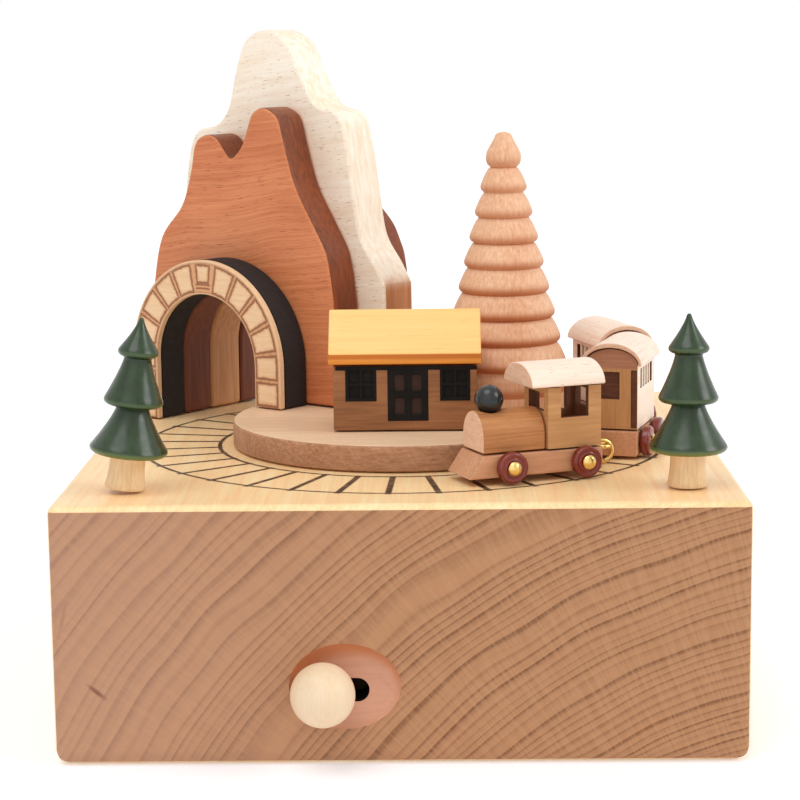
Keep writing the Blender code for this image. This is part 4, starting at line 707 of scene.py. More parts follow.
def make_facade(name):
    """Thin veneer with a burnt pattern of wedge stones round the arch."""
    material, wiring, shader, place, grain = start_wood(name)
    x, y, _ = wiring.split(place)
    across = x - ARCH_CENTRE
    up = y - ARCH_SPRING
    raised = wiring.larger(up, 0.0)
    radius = wiring.away(across, raised)
    angle = wiring.math("ARCTAN2", raised, across)
    middle_r = (ARCH_INNER_R + ARCH_OUTER_R) / 2
    below = wiring.larger(up * -1.0, 0.0)
    side = wiring.math("SIGN", across)
    from_crown = (math.pi / 2 - angle) * middle_r + below * side
    turn = from_crown / STONE_PITCH
    number = wiring.math("ROUND", turn)
    along = (turn - number) * STONE_PITCH
    outward = radius - STONE_MIDDLE_R
    crown = wiring.math("COMPARE", number, 0.0, 0.1)
    stone = wiring.group("rectangle", {
        "X": along, "Y": outward - crown * 0.7,
        "Half Width": STONE_HALF[0] - crown * 0.55,
        "Half Height": STONE_HALF[1] - crown * 0.85})["Distance"]
    uneven = wiring.noise(wiring.scaled(place, (1.3, 1.3, 1.3)), 2.0) - 0.5
    stone = stone + uneven * 0.45
    outline = wiring.burnt(stone, 0.46, 0.2)
    for level in (-1.25, -1.95):
        ledge = wiring.burnt(outward - level, 0.34, 0.14)
        short = wiring.step(abs(along), 1.9, 2.1, 1.0, 0.0)
        outline = wiring.larger(outline, ledge * crown * short)
    inner_rim = STONE_MIDDLE_R - STONE_HALF[1] - 0.2
    outer_rim = STONE_MIDDLE_R + STONE_HALF[1] + 0.25
    rims = wiring.burnt_lines(radius, (inner_rim, outer_rim), 0.3, 0.15)
    in_ring = wiring.step(abs(outward), STONE_HALF[1] + 0.1, STONE_HALF[1] + 0.4, 1.0, 0.0)
    mortar = wiring.step(stone, 0.05, 0.25) * in_ring
    scorched = wiring.larger(mortar * 0.75, wiring.step(abs(stone), 0.1, 0.9, 0.45, 0.0))
    filled = wiring.mix(scorched, grain["Colour"], shade(208, 146, 98))
    burnt = wiring.larger(outline, rims * 0.5)
    scorch = wiring.mix(burnt * 0.9, filled, shade(136, 80, 48))
    dress(wiring, shader, scorch, burnt * -1.0, 0.3)
    return material


def make_fascia(name):
    """Orange edge of the roof, darker where it meets the slope."""
    material, wiring, shader, place, grain = start_wood(name)
    upper = wiring.step(wiring.split(place)[1], 0.75, 1.15, 0.0, 0.8)
    dress(wiring, shader, wiring.mix(upper, grain["Colour"], shade(194, 104, 30)))
    return material


def make_car_end(name):
    """End wall of a car: plywood below, a dark gable above the wall's top."""
    material, wiring, shader = new_finish(name, 0.55)
    place = wiring.place()
    wall = table_grain(wiring, place, "cab_ply", "Y")
    gable = table_grain(wiring, place, "gable_wood", "X")
    above = wiring.step(wiring.split(place)[1], 15.45, 15.65)
    dress(wiring, shader, wiring.mix(above, wall["Colour"], gable["Colour"]))
    return material


def make_cover_board(name):
    """Thin plywood board under the box."""
    material, wiring, shader = new_finish(name, WOODS[name][-1])
    grain = table_grain(wiring, wiring.world_place(), name)
    dress(wiring, shader, grain["Colour"], grain["Height"], 0.3)
    return material


def gloss(wiring, shader, colour, place, size, smooth, rough, bump):
    """A colour with a faintly uneven gloss, and a faint relief where a bump is given."""
    marks = wiring.group("surface_marks", {"Place": place, "Size": size, "Smooth": smooth, "Rough": rough})
    dress(wiring, shader, colour, marks["Height"] if bump else None, bump)
    wiring.feed(shader.inputs["Roughness"], marks["Roughness"])


def make_painted(name, colour, smooth, rough, coat=0.0, size=4.0, bump=0.05):
    """An even paint or lacquer; it also gives the slot's near-black painted shade."""
    material, wiring, shader = new_finish(name, smooth, specular=0.4 if coat else 0.15, coat_weight=coat,
                                          coat_roughness=0.12)
    gloss(wiring, shader, colour_of(colour), wiring.place(), size, smooth, rough, bump)
    return material


def make_green_paint(name):
    """Dark green paint, lighter along the lips of the tiers."""
    material, wiring, shader = new_finish(name, 0.3, coat_weight=0.4, coat_roughness=0.2)
    place = wiring.place()
    z = wiring.split(place)[2]
    brush = wiring.noise(wiring.scaled(place, (0.5, 0.5, 0.22)), 4.0, 0.6)
    uneven = wiring.mix(wiring.step(brush, 0.35, 0.7, 0.0, 0.55), colour_of("green"), shade(44, 70, 34))
    lips = wiring.burnt_lines(z, [edge - 0.1 for edge in GREEN_TIER_EDGES], 0.5, 0.2)
    lipped = wiring.mix(lips * 0.4, uneven, shade(92, 112, 66))
    low_rim = wiring.step(z, GREEN_TIER_EDGES[0] - 0.6, GREEN_TIER_EDGES[0] + 0.3, 0.75, 0.0)
    rimmed = wiring.mix(low_rim, lipped, shade(116, 124, 62))
    gloss(wiring, shader, rimmed, place, 2.0, 0.2, 0.4, 0.3)
    return material


def make_metal(name, colour, smooth, rough, size=2.0):
    """A plain metal of a linear colour. It also serves pieces that keep their CAD mesh."""
    material, wiring, shader = new_finish(name, smooth, 1.0, 0.5)
    gloss(wiring, shader, colour, wiring.world_place(), size, smooth, rough, 0.05)
    return material


def make_moulded(name, colour, smooth, rough):
    """A moulded piece that keeps its CAD mesh."""
    material, wiring, shader = new_finish(name, smooth)
    gloss(wiring, shader, colour_of(colour), wiring.world_place(), 1.5, smooth, rough, 0.0)
    return material


# What makes each finish and with which settings. A name that isn't here is a plain wood.
FINISHES = {
    "box_end_grain": (make_box_end_grain,),
    "box_long_grain": (make_box_long_grain,),
    "dish_wood": (make_dish_wood,),
    "platform_rim": (make_platform_rim,),
    "red_face": (make_mountain_face,),
    "beige_face": (make_mountain_face,),
    "beige_side": (make_beige_side,),
    "facade_veneer": (make_facade,),
    "fascia_wood": (make_fascia,),
    "tree_wood": (make_tree_wood,),
    "green_paint": (make_green_paint,),
    "car_end": (make_car_end,),
    "cover_board": (make_cover_board,),
    "roof_wood": (make_wood, None, None, 0.2, 0.2),
    "knob_wood": (make_wood, None, None, 0.15),
    "boiler_along": (make_wood, "boiler_wood", "Z"),
    "boiler_end": (make_wood, "train_end_grain"),
    "roof_along": (make_wood, "train_roof", "Z"),
    "roof_end": (make_wood, "train_end_grain"),
    "car_side": (make_wood, "car_ply", "Z"),
    "black_joinery": (make_painted, (20, 17, 15), 0.55, 0.75),
    "window_pane": (make_painted, (22, 18, 16), 0.5, 0.7),
    "door_panel": (make_painted, (62, 42, 34), 0.45, 0.6),
    "black_stain": (make_painted, (50, 45, 44), 0.65, 0.85, 0.0, 1.5, 0.2),
    # The slot's walls are near-black: a painted shade for the dark inside of the hole.
    "slot_dark": (make_painted, (24, 18, 15), 0.7, 0.9),
    "gloss_black": (make_painted, (16, 18, 21), 0.2, 0.34, 0.3),
    "wheel_lacquer": (make_painted, "wheels", 0.18, 0.34, 0.5),
    "brass": (make_metal, (0.80, 0.56, 0.20), 0.16, 0.3),
    "steel": (make_metal, (0.62, 0.62, 0.63), 0.22, 0.4),
    "spring_steel": (make_metal, (0.30, 0.32, 0.36), 0.28, 0.45),
    "cast_metal": (make_metal, (0.46, 0.46, 0.47), 0.45, 0.7, 1.0),
    "magnet": (make_metal, (0.40, 0.41, 0.43), 0.2, 0.4),
    "arm_plastic": (make_moulded, (228, 226, 218), 0.4, 0.55),
}


def finish(name):
    """The material of that name, built on first use."""
    made = bpy.data.materials.get(finish_name(name))
    if made is None:
        maker, *settings = FINISHES.get(name, (make_wood,))
        made = maker(name, *settings)
    return made


def linked(name, data):
    """A new object of the scene."""
    made = bpy.data.objects.new(name, data)
    bpy.context.scene.collection.objects.link(made)
    return made


def harvested(holder, keep_all=False):
    """The mesh that an object shows after its modifiers. The object is removed."""
    graph = bpy.context.evaluated_depsgraph_get()
    made = bpy.data.meshes.new_from_object(holder.evaluated_get(graph), preserve_all_data_layers=keep_all,
                                           depsgraph=graph)
    bpy.data.objects.remove(holder)
    return made


def mesh_from(shape, name):
    """A mesh from a bmesh, its faces outward."""
    bmesh.ops.recalc_face_normals(shape, faces=shape.faces)
    mesh = bpy.data.meshes.new(name)
    shape.to_mesh(mesh)
    shape.free()
    return mesh


def round_edges(shape, rounding, segments, least=35.0):
    """Round the edges of a bmesh that are sharper than an angle."""
    edges = [edge for edge in shape.edges
             if len(edge.link_faces) == 2 and edge.calc_face_angle() > math.radians(least)]
    bmesh.ops.bevel(shape, geom=edges, offset=rounding, segments=segments, profile=0.5, affect="EDGES",
                    clamp_overlap=True)


def block_shape(low, high, rounding=0.0, segments=2):
    """A block between two opposite corners, with rounded edges."""
    low, high = (Vector(corner) for corner in zip(*(sorted(pair) for pair in zip(low, high))))
    shape = bmesh.new()
    bmesh.ops.create_cube(shape, size=1.0)
    bmesh.ops.scale(shape, vec=high - low, verts=shape.verts)
    bmesh.ops.translate(shape, vec=(high + low) / 2, verts=shape.verts)
    if rounding:
        round_edges(shape, rounding, segments)
    return shape


def prism_shape(outline, low, high, rounding=0.0, segments=3, least=35.0):
    """An outline in X and Y, from one height to another, with its sharp edges rounded."""
    shape = bmesh.new()
    ring = [shape.verts.new((x, y, low)) for x, y in outline]
    face = shape.faces.new(ring)
    made = bmesh.ops.extrude_face_region(shape, geom=[face])
    raised = [item for item in made["geom"] if isinstance(item, bmesh.types.BMVert)]
    bmesh.ops.translate(shape, vec=(0, 0, high - low), verts=raised)
    bmesh.ops.recalc_face_normals(shape, faces=shape.faces)
    if rounding:
        round_edges(shape, rounding, segments, least)
    return shape


def turned_shape(profile, steps=64, closed=False):
    """A profile of radius and height swept round Z. A closed profile makes a ring."""
    shape = bmesh.new()
    rings = []
    for radius, height in profile:
        if radius < 1e-6:
            rings.append([shape.verts.new((0, 0, height))])
        else:
            turns = (2 * math.pi * i / steps for i in range(steps))
            around = [(radius * math.cos(a), radius * math.sin(a), height) for a in turns]
            rings.append([shape.verts.new(spot) for spot in around])
    pairs = list(zip(rings, rings[1:]))
    if closed:
        pairs.append((rings[-1], rings[0]))
    for upper, lower in pairs:
        for i in range(steps):
            j = (i + 1) % steps
            if len(upper) == 1:
                shape.faces.new((upper[0], lower[i], lower[j]))
            elif len(lower) == 1:
                shape.faces.new((upper[i], lower[0], upper[j]))
            else:
                shape.faces.new((upper[i], lower[i], lower[j], upper[j]))
    return shape


def moved(shape, matrix):
    """The same bmesh, moved."""
    bmesh.ops.transform(shape, matrix=matrix, verts=shape.verts)
    return shape


def painted(shape, index):
    """The same bmesh, with one material slot on all its faces."""
    for face in shape.faces:
        face.material_index = index
    return shape


def shape_from(*meshes):
    """One bmesh from finished meshes."""
    shape = bmesh.new()
    for mesh in meshes:
        shape.from_mesh(mesh)
    return shape


def gathered(name, shapes):
    """Several bmeshes as one mesh."""
    whole = bmesh.new()
    for shape in shapes:
        part = bpy.data.meshes.new("part")
        bmesh.ops.recalc_face_normals(shape, faces=shape.faces)
        shape.to_mesh(part)
        shape.free()
        whole.from_mesh(part)
        bpy.data.meshes.remove(part)
    mesh = bpy.data.meshes.new(name)
    whole.to_mesh(mesh)
    whole.free()
    return mesh


def arc_points(centre_x, centre_y, radius, start, end, count, rise=None):
    """Points on an arc, angles in degrees. With a rise it is half an ellipse."""
    up = radius if rise is None else rise
    spread = [math.radians(start + (end - start) * i / (count - 1)) for i in range(count)]
    return [(centre_x + radius * math.cos(a), centre_y + up * math.sin(a)) for a in spread]


def smooth_run(points, steps=6):
    """A smooth curve through the points, from the first to the last."""
    padded = [points[0]] + list(points) + [points[-1]]
    run = []
    for a, b, c, d in zip(padded, padded[1:], padded[2:], padded[3:]):
        for i in range(steps):
            t = i / steps
            run.append(tuple(0.5 * (2 * q + (r - p) * t + (2 * p - 5 * q + 4 * r - s) * t * t
                                    + (3 * q - p - 3 * r + s) * t ** 3) for p, q, r, s in zip(a, b, c, d)))
    run.append(tuple(points[-1]))
    return run


def evaluated(mesh, name, *modifiers):
    """The mesh after the given modifiers, as a plain mesh."""
    holder = linked(name, mesh)
    for kind, settings in modifiers:
        step = holder.modifiers.new(kind.lower(), kind)
        for key, value in settings.items():
            setattr(step, key, value)
    return harvested(holder, True)


def cut_away(mesh, cutters):
    """The mesh with other meshes cut out of it."""
    holders = [linked(f"cutter_{number}", cutter) for number, cutter in enumerate(cutters)]
    steps = [("BOOLEAN", {"operation": "DIFFERENCE", "solver": "EXACT", "object": holder})
             for holder in holders]
    made = evaluated(mesh, "being_cut", *steps)
    for holder in holders:
        bpy.data.objects.remove(holder)
    return made


def add_piece(name, mesh, place, finishes, body, replaced=(), crease=40.0):
    """Put a finished mesh in place as a piece that rides on a body and stands for CAD nodes."""
    mesh.shade_smooth()
    mesh.set_sharp_from_angle(angle=math.radians(crease))
    mesh = evaluated(mesh, name, ("WEIGHTED_NORMAL", {"mode": "FACE_AREA", "keep_sharp": True}))
    mesh.name = name
    spots = mesh.attributes.new(PLACE, "FLOAT_VECTOR", "POINT")
    numbers = [0.0] * (3 * len(mesh.vertices))
    mesh.vertices.foreach_get("co", numbers)
    spots.data.foreach_set("vector", numbers)
    mesh.transform(place)
    indices = [0] * len(mesh.polygons)
    mesh.polygons.foreach_get("material_index", indices)
    mesh.materials.clear()
    for each in finishes:
        mesh.materials.append(finish(each))
    mesh.polygons.foreach_set("material_index", indices)
    piece = linked(name, mesh)
    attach(piece, body)
    if replaced:
        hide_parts(*replaced)


def paint_by_normal(mesh, rules, rest):
    """Give each face the material slot of the first rule that its normal passes."""
    for face in mesh.polygons:
        face.material_index = next((slot for slot, test in rules if test(face.normal)), rest)


def grown(rule, name, **values):
    """The mesh that a geometry node rule makes with the given inputs."""
    tree = bpy.data.node_groups.get(rule) or RULES[rule]()
    holder = linked(name, bpy.data.meshes.new(name))
    maker = holder.modifiers.new(rule, "NODES")
    maker.node_group = tree
    for socket in tree.interface.items_tree:
        label = socket.name.lower().replace(" ", "_")
        if socket.in_out == "INPUT" and label in values:
            maker[socket.identifier] = values[label]
    return harvested(holder)


def delivered(wiring, geometry, takes, gives):
    """The tree of a rule, ended: its instances made real and its finish set."""
    real = wiring.term("GeometryNodeRealizeInstances", {0: geometry})
    dressed = wiring.term("GeometryNodeSetMaterial", {"Geometry": real, "Material": takes["Finish"]})
    wiring.feed(gives["Geometry"], dressed)
    return wiring.tree


def rule_beaded_tree():
    """A cone of beads with a groove under each: radius follows the distance below the tip."""
    wiring, takes, gives = new_group("beaded_tree", [
        ("Tiers", "Int", 9), ("Pitch", "Float", 4.6),
        ("Tip Radius", "Float", 3.15), ("Growth", "Float", 1.02),
        ("Tip Height", "Float", TREE_TIP), ("Skirt", "Float", TREE_SKIRT),
        ("Groove", "Float", 0.6), ("Finish", "Material", None)],
        [("Geometry", "Geometry")], "GeometryNodeTree")
    beads = (takes["Tiers"] - 1.0) * takes["Pitch"]
    height = takes["Tip Height"] + beads + takes["Skirt"]
    body = wiring.term("GeometryNodeMeshCylinder", {"Vertices": 72, "Side Segments": 230, "Radius": 1.0,
                                                    "Depth": height})
    x, y, z = wiring.split(wiring.term("GeometryNodeInputPosition"))
    down = height * 0.5 - z
    past_tip = (down - takes["Tip Height"]) / takes["Pitch"]
    tier = wiring.larger(wiring.math("CEIL", past_tip - 1e-4), 0.0)
    tier = wiring.smaller(tier, takes["Tiers"] - 1.0)
    above_edge = takes["Tip Height"] + tier * takes["Pitch"] - down
    first = wiring.math("LESS_THAN", tier, 0.5)
    taller = takes["Tip Height"] * 1.15 - takes["Pitch"]
    share = above_edge / (takes["Pitch"] + first * taller)
    curve = wiring.node("ShaderNodeFloatCurve")
    run = curve.mapping.curves[0]
    run.points[0].location = BEAD_PROFILE[0]
    for spot, value in BEAD_PROFILE[1:]:
        run.points.new(spot, value)
    curve.mapping.update()
    wiring.feed(curve.inputs["Value"], share)
    deepest = takes["Growth"] + takes["Groove"]
    widest = takes["Tip Radius"] + tier * takes["Growth"]
    bead = widest - Term(wiring, curve.outputs[0]) * deepest
    foot = widest - wiring.step(above_edge, -1.6, 0.0, 0.35, 0.9)
    foot = foot - wiring.step(down, height - 0.5, height, 0.0, 0.3)
    under = wiring.math("LESS_THAN", above_edge, 0.0)
    radius = foot * under + bead * (1.0 - under)
    crown = wiring.larger(1.0 - down / CROWN[1], 0.0)
    dome = wiring.math("SQRT", 1.0 - crown * crown) * CROWN[0]
    cone = dome + wiring.larger(down - CROWN[1], 0.0) * 0.55
    radius = wiring.smaller(radius, cone + 0.02)
    spot = wiring.join(x * radius, y * radius, z)
    shaped = wiring.term("GeometryNodeSetPosition", {"Geometry": body, "Position": spot})
    return delivered(wiring, shaped, takes, gives)


def rule_bars():
    """Upright bars at a steady spacing along X, round the origin."""
    wiring, takes, gives = new_group("bars", [
        ("Count", "Int", 4), ("Spacing", "Float", 2.1),
        ("Bar Size", "Vector", None), ("Finish", "Material", None)],
        [("Geometry", "Geometry")], "GeometryNodeTree")
    first = (takes["Count"] - 1.0) * takes["Spacing"] * -0.5
    line = wiring.term("GeometryNodeMeshLine", {"Count": takes["Count"],
                                                "Start Location": wiring.join(first, 0.0, 0.0),
                                                "Offset": wiring.join(takes["Spacing"], 0.0, 0.0)})
    bar = wiring.term("GeometryNodeMeshCube", {"Size": takes["Bar Size"]})
    copies = wiring.term("GeometryNodeInstanceOnPoints", {"Points": line, "Instance": bar})
    return delivered(wiring, copies, takes, gives)


def rule_tune_pins():
    """Short pins on a cylinder that lies along Z, one row to each tooth of the comb."""
    wiring, takes, gives = new_group("tune_pins", [
        ("Pins", "Int", 150), ("Radius", "Float", 6.4),
        ("Rows", "Int", 18), ("Row Pitch", "Float", 0.93),
        ("Pin Radius", "Float", 0.16), ("Pin Length", "Float", 0.8),
        ("Seed", "Int", 7), ("Finish", "Material", None)],
        [("Geometry", "Geometry")], "GeometryNodeTree")
    points = wiring.term("GeometryNodePoints", {"Count": takes["Pins"]})
    index = wiring.term("GeometryNodeInputIndex")
    row = wiring.math("FLOORED_MODULO", index, takes["Rows"])
    middle_row = (takes["Rows"] - 1.0) * 0.5
    height = (row - middle_row) * takes["Row Pitch"]
    chance = wiring.term("FunctionNodeRandomValue", {"ID": index, "Seed": takes["Seed"]}, 1,
                         data_type="FLOAT")
    turn = chance * (2 * math.pi)
    direction = wiring.join(wiring.math("COSINE", turn), wiring.math("SINE", turn), 0.0)
    scaled = wiring.term("ShaderNodeVectorMath", {0: direction, "Scale": takes["Radius"]},
                         operation="SCALE")
    raised = wiring.join(0.0, 0.0, height)
    lifted = wiring.term("ShaderNodeVectorMath", {0: scaled, 1: raised}, operation="ADD")
    placed = wiring.term("GeometryNodeSetPosition", {"Geometry": points, "Position": lifted})
    aim = wiring.term("FunctionNodeAlignRotationToVector", {"Vector": direction}, axis="Z")
    pin = wiring.term("GeometryNodeMeshCylinder", {"Vertices": 6, "Radius": takes["Pin Radius"],
                                                   "Depth": takes["Pin Length"]})
    copies = wiring.term("GeometryNodeInstanceOnPoints", {"Points": placed, "Instance": pin,
                                                          "Rotation": aim})
    return delivered(wiring, copies, takes, gives)


RULES = {"beaded_tree": rule_beaded_tree, "bars": rule_bars, "tune_pins": rule_tune_pins}


def make_box(sizes):
    """The hollow block with its dish, its slot and its rebate for the cover."""
    mesh = mesh_from(block_shape(BOX_LOW, BOX_HIGH), "box_block")
    widest = sizes.bottom_rounding / MM
    weights = mesh.attributes.new("bevel_weight_edge", "FLOAT", "EDGE")
    for edge, weight in zip(mesh.edges, weights.data):
        ends = [mesh.vertices[i].co for i in edge.vertices]
        if abs(ends[0].z - ends[1].z) > 1:
            weight.value = sizes.side_rounding / MM / widest
        elif ends[0].z > BOX_TOP / 2:
            weight.value = sizes.top_rounding / MM / widest
        else:
            weight.value = 1.0
    bevel = {"width": widest, "segments": 5, "limit_method": "WEIGHT"}
    mesh = evaluated(mesh, "box_block", ("BEVEL", bevel))
    outer = BOX_HIGH.x
    rebate, hollow = (mesh_from(block_shape((-reach, -reach, -depth), (reach, reach, top)), name)
                      for name, reach, depth, top in (("rebate", outer - REBATE_INSET, 1, REBATE_TOP),
                                                      ("hollow", outer - HOLLOW_INSET, 2, HOLLOW_TOP)))
    half = DISH_SIZE[0] / 2
    profile = [(half * t, -DISH_DEPTH * (1 - t ** 3) ** 0.6) for t in (i / 24 for i in range(25))]
    profile[-1] = (half, -0.25)
    profile += [(half + 0.12, 0.0), (half + 0.12, 6), (0, 6)]
    to_front = Matrix.Translation((DISH_CENTRE[0], -outer, DISH_CENTRE[1])) @ STAND_UP
    squeeze = Matrix.Diagonal((1, DISH_SIZE[1] / DISH_SIZE[0], 1, 1))
    dish = mesh_from(painted(moved(turned_shape(profile, 96), to_front @ squeeze), 1), "dish")
    slot_outline = arc_points(SLOT_TO, 0, SLOT_R, -90, 90, 17)
    slot_outline += arc_points(SLOT_FROM, 0, SLOT_R, 90, 270, 17)
    slot_place = Matrix.Translation((0, -outer, SLOT_Z)) @ STAND_UP
    # The slot's walls take the third finish, near-black: a painted shade for the dark inside of the hole.
    slot = mesh_from(painted(moved(prism_shape(slot_outline, -9.5, 3), slot_place), 2), "slot")
    for each in (mesh, rebate, hollow, dish, slot):
        for _ in range(4):
            each.materials.append(None)
    for inner in (rebate, hollow):
        inner.polygons.foreach_set("material_index", [3] * len(inner.polygons))
    mesh = cut_away(mesh, (rebate, hollow, dish, slot))
    for face in mesh.polygons:
        if face.material_index == 0 and abs(face.normal.y) < (0.93 if face.normal.z > 0.2 else 0.6):
            face.material_index = 4
    add_piece("box_block", mesh, RING, ("box_end_grain", "dish_wood", "slot_dark", "inner_wood",
                                        "box_long_grain"), "root", ("base_block",), 30)


def make_platform():
    """Round platform with a soft upper edge."""
    low, high = DISC_LOW.z, DISC_HIGH.z
    soft = 0.5
    profile = [(0, high)] + arc_points(DISC_R - soft, high - soft, soft, 0, 90, 6)[::-1]
    profile += [(DISC_R, low + 0.2), (DISC_R - 0.2, low), (0, low)]
    mesh = mesh_from(turned_shape(profile, 160), "round_platform")
    paint_by_normal(mesh, [(0, lambda n: abs(n.z) > 0.8)], 1)
    add_piece("round_platform", mesh, RING, ("platform_top", "platform_rim"), "root",
              ("platform_disc",))


def make_station():
    """Station: walls with let-in openings, black joinery and a gabled roof."""
    front = HOUSE_LOW.y
    middle = (HOUSE_LOW.x + HOUSE_HIGH.x) / 2
    walls = mesh_from(block_shape(HOUSE_LOW, HOUSE_HIGH, 0.15), "station_walls")
    top = HOUSE_HIGH.z - 0.4
    cutters = []
    joinery = []
    panels = []
    for shift, width, height, stile in OPENINGS:
        left, right, low = middle + shift - width / 2, middle + shift + width / 2, top - height
        cutters.append(mesh_from(block_shape((left, front - 1, low), (right, front + 0.5, top)), "opening"))
        panels.append(block_shape((left + 0.05, front + 0.36, low + 0.05),
                                  (right - 0.05, front + 0.47, top - 0.05)))
        bars = [(left + 0.02, left + stile), (right - stile, right - 0.02),
                (middle + shift - stile / 2, middle + shift + stile / 2)]
        for from_x, to_x in bars:
            joinery.append(block_shape((from_x, front - 0.12, low + 0.02),
                                       (to_x, front + 0.4, top - 0.02), 0.08, 1))
        centre = (low + top) / 2
        levels = [(low + 0.02, low + stile), (top - stile, top - 0.02),
                  (centre - stile / 2, centre + stile / 2)]
        for from_z, to_z in levels:
            joinery.append(block_shape((left + 0.02, front - 0.1, from_z),
                                       (right - 0.02, front + 0.38, to_z), 0.08, 1))
    joinery.append(block_shape((HOUSE_LOW.x + 0.4, front - 0.14, HOUSE_HIGH.z - 0.75),
                               (HOUSE_HIGH.x + 0.05, front + 0.1, HOUSE_HIGH.z - 0.05), 0.05, 1))
    walls = cut_away(walls, cutters)
    add_piece("station_walls", walls, RING, ("house_wall",), "root", ("station_house",))
    for name, shapes, look in (("station_joinery", joinery, "black_joinery"),
                               ("station_windows", [panels[0], panels[2]], "window_pane"),
                               ("station_door", [panels[1]], "door_panel")):
        add_piece(name, gathered(name, shapes), RING, (look,), "root")
    half_depth = (ROOF_HIGH.y - ROOF_LOW.y) / 2
    half_width = (ROOF_HIGH.x - ROOF_LOW.x) / 2
    rise = ROOF_HIGH.z - ROOF_LOW.z
    outline = [(-half_depth, 0), (half_depth, 0), (half_depth, EAVES), (0, rise), (-half_depth, EAVES)]
    roof = mesh_from(prism_shape(outline, -half_width, half_width, 0.3, 3, 20), "station_roof")
    paint_by_normal(roof, [(0, lambda n: n.y > 0.35)], 1)
    place = RING @ Matrix.Translation((middle, (ROOF_LOW.y + ROOF_HIGH.y) / 2, ROOF_LOW.z)) @ ACROSS
    add_piece("station_roof", roof, place, ("roof_wood", "fascia_wood"), "root",
              ("house_roof",), 30)


def make_turned_tree(sizes):
    """Tall natural tree turned in one piece."""
    mesh = grown("beaded_tree", "tall_tree", tiers=sizes.tree_tiers, pitch=sizes.tree_pitch / MM,
                 growth=sizes.tree_growth / MM, finish=finish("tree_wood"))
    middle = (TREE_LOW + TREE_HIGH) / 2
    add_piece("tall_tree", mesh, RING @ Matrix.Translation(middle), ("tree_wood",), "root",
              ("turned_tree",), 60)


def green_tree_profile():
    """Three bell-shaped tiers over a trunk, from the tip down."""
    neck = 0.42
    start = GREEN_TIP - 0.4
    profile = [(0, GREEN_TIP), (0.28, GREEN_TIP - 0.1), (neck, start)]
    tiers = list(zip(GREEN_TIER_EDGES, GREEN_TIER_RADII))[::-1]
    for number, (edge, radius) in enumerate(tiers):
        for t in (i / 12 for i in range(1, 13)):
            flare = t ** 1.25
            profile.append((neck + (radius - neck) * flare, start + (edge + 0.25 - start) * t))
        profile += [(radius + 0.08, edge - 0.1), (radius - 0.05, edge - 0.45), (radius - 0.4, edge - 0.72),
                    (radius - 0.9, edge - 0.85)]
        neck = 2.2 + 0.4 * number
        profile.append((neck + 0.15, edge - 0.9))
        start = edge - 1.1
        profile.append((neck, start))
    profile += [(2.8, 5.0), (2.9, 2.6), (3.1, 1.1), (3.3, 0.35), (3.1, 0.0), (0, 0)]
    return profile


def make_green_trees():
    """Two small painted trees on natural trunks."""
    for side, degrees, across in (("left", 7.4, -44.2), ("right", 0.0, 46.0)):
        node = f"green_tree_{side}"
        mesh = mesh_from(turned_shape(green_tree_profile(), 64), node)
        for face in mesh.polygons:
            face.material_index = 1 if face.center.z < GREEN_TIER_EDGES[0] - 0.6 else 0
        lean = math.radians(degrees)
        lift = BOX_TOP + SEAT_GAP + 3.1 * math.sin(lean)
        place = RING @ Matrix.Translation((across, -43.4, lift)) @ Matrix.Rotation(lean, 4, "Y")
        add_piece(f"small_tree_{side}", mesh, place, ("green_paint", "cream_wood"), "root",
                  (node,), 50)


def arch_outline(left, right):
    """A tunnel opening, from its right foot over the crown to its left foot."""
    centre = (left + right) / 2
    crown = arc_points(centre, ARCH_SPRING, (right - left) / 2, 0, 180, 49)
    return [(right, ARCH_FOOT)] + crown + [(left, SEAT_GAP)]


# Mountain layers: where the feet stand, the outline across and up from the box top from the left foot
# to the right, how much wider the opening is, the slot's wood, depth of the front face and thickness
LAYERS = {
    "mountain_front": ((-42.0, 6.4), [
        (-42.0, 12.0), (-40.5, 24.4), (-38.0, 34.2), (-32.4, 40.5), (-29.8, 46.9), (-28.7, 51.6),
        (-27.2, 53.5), (-24.8, 54.1), (-22.8, 53.4), (-21.4, 51.9), (-20.2, 50.4), (-19.2, 49.8),
        (-18.0, 50.5), (-16.4, 52.2), (-15.2, 54.8), (-13.9, 57.8), (-12.3, 59.0), (-10.6, 59.2),
        (-8.6, 58.4), (-7.1, 56.9), (-5.6, 51.8), (-3.2, 44.8), (0.9, 38.1), (4.1, 32.5), (5.6, 24.3)],
        0.0, "red_wood", 7.5, 7.2),
    "mountain_middle": ((-40.5, 12.0), [
        (-40.5, 20.0), (-39.0, 38.0), (-37.2, 50.0), (-34.7, 54.4), (-29.9, 55.6), (-26.7, 58.7),
        (-24.9, 64.3), (-22.0, 71.2), (-16.6, 73.4), (-11.2, 70.8), (-7.9, 64.7), (-4.2, 59.6),
        (1.1, 57.8), (3.1, 51.8), (4.6, 42.8), (6.1, 35.6), (9.5, 30.7), (11.7, 27.0)],
        0.0, "beige_wood", 15.0, 8.2),
    "mountain_rear": ((-40.0, 6.0), [
        (-40.0, 18.0), (-37.0, 31.0), (-31.0, 42.0), (-25.0, 47.0), (-19.0, 52.0), (-12.0, 52.0),
        (-6.5, 47.0), (-2.5, 42.0), (0.7, 38.9), (2.6, 36.7), (4.0, 33.9), (4.9, 31.7), (5.5, 28.5)],
        4.7, "red_wood", 23.5, 6.2),
}


def tunnel_place(front, thickness):
    """Matrix for a layer that is drawn flat and stands with its front at that depth."""
    return RING @ Matrix.Translation((*TUNNEL_FOOT, 0)) @ Matrix.Rotation(TUNNEL_TURN, 4, "Z") \
        @ Matrix.Translation((0, front + thickness / 2, BOX_TOP)) @ STAND_UP


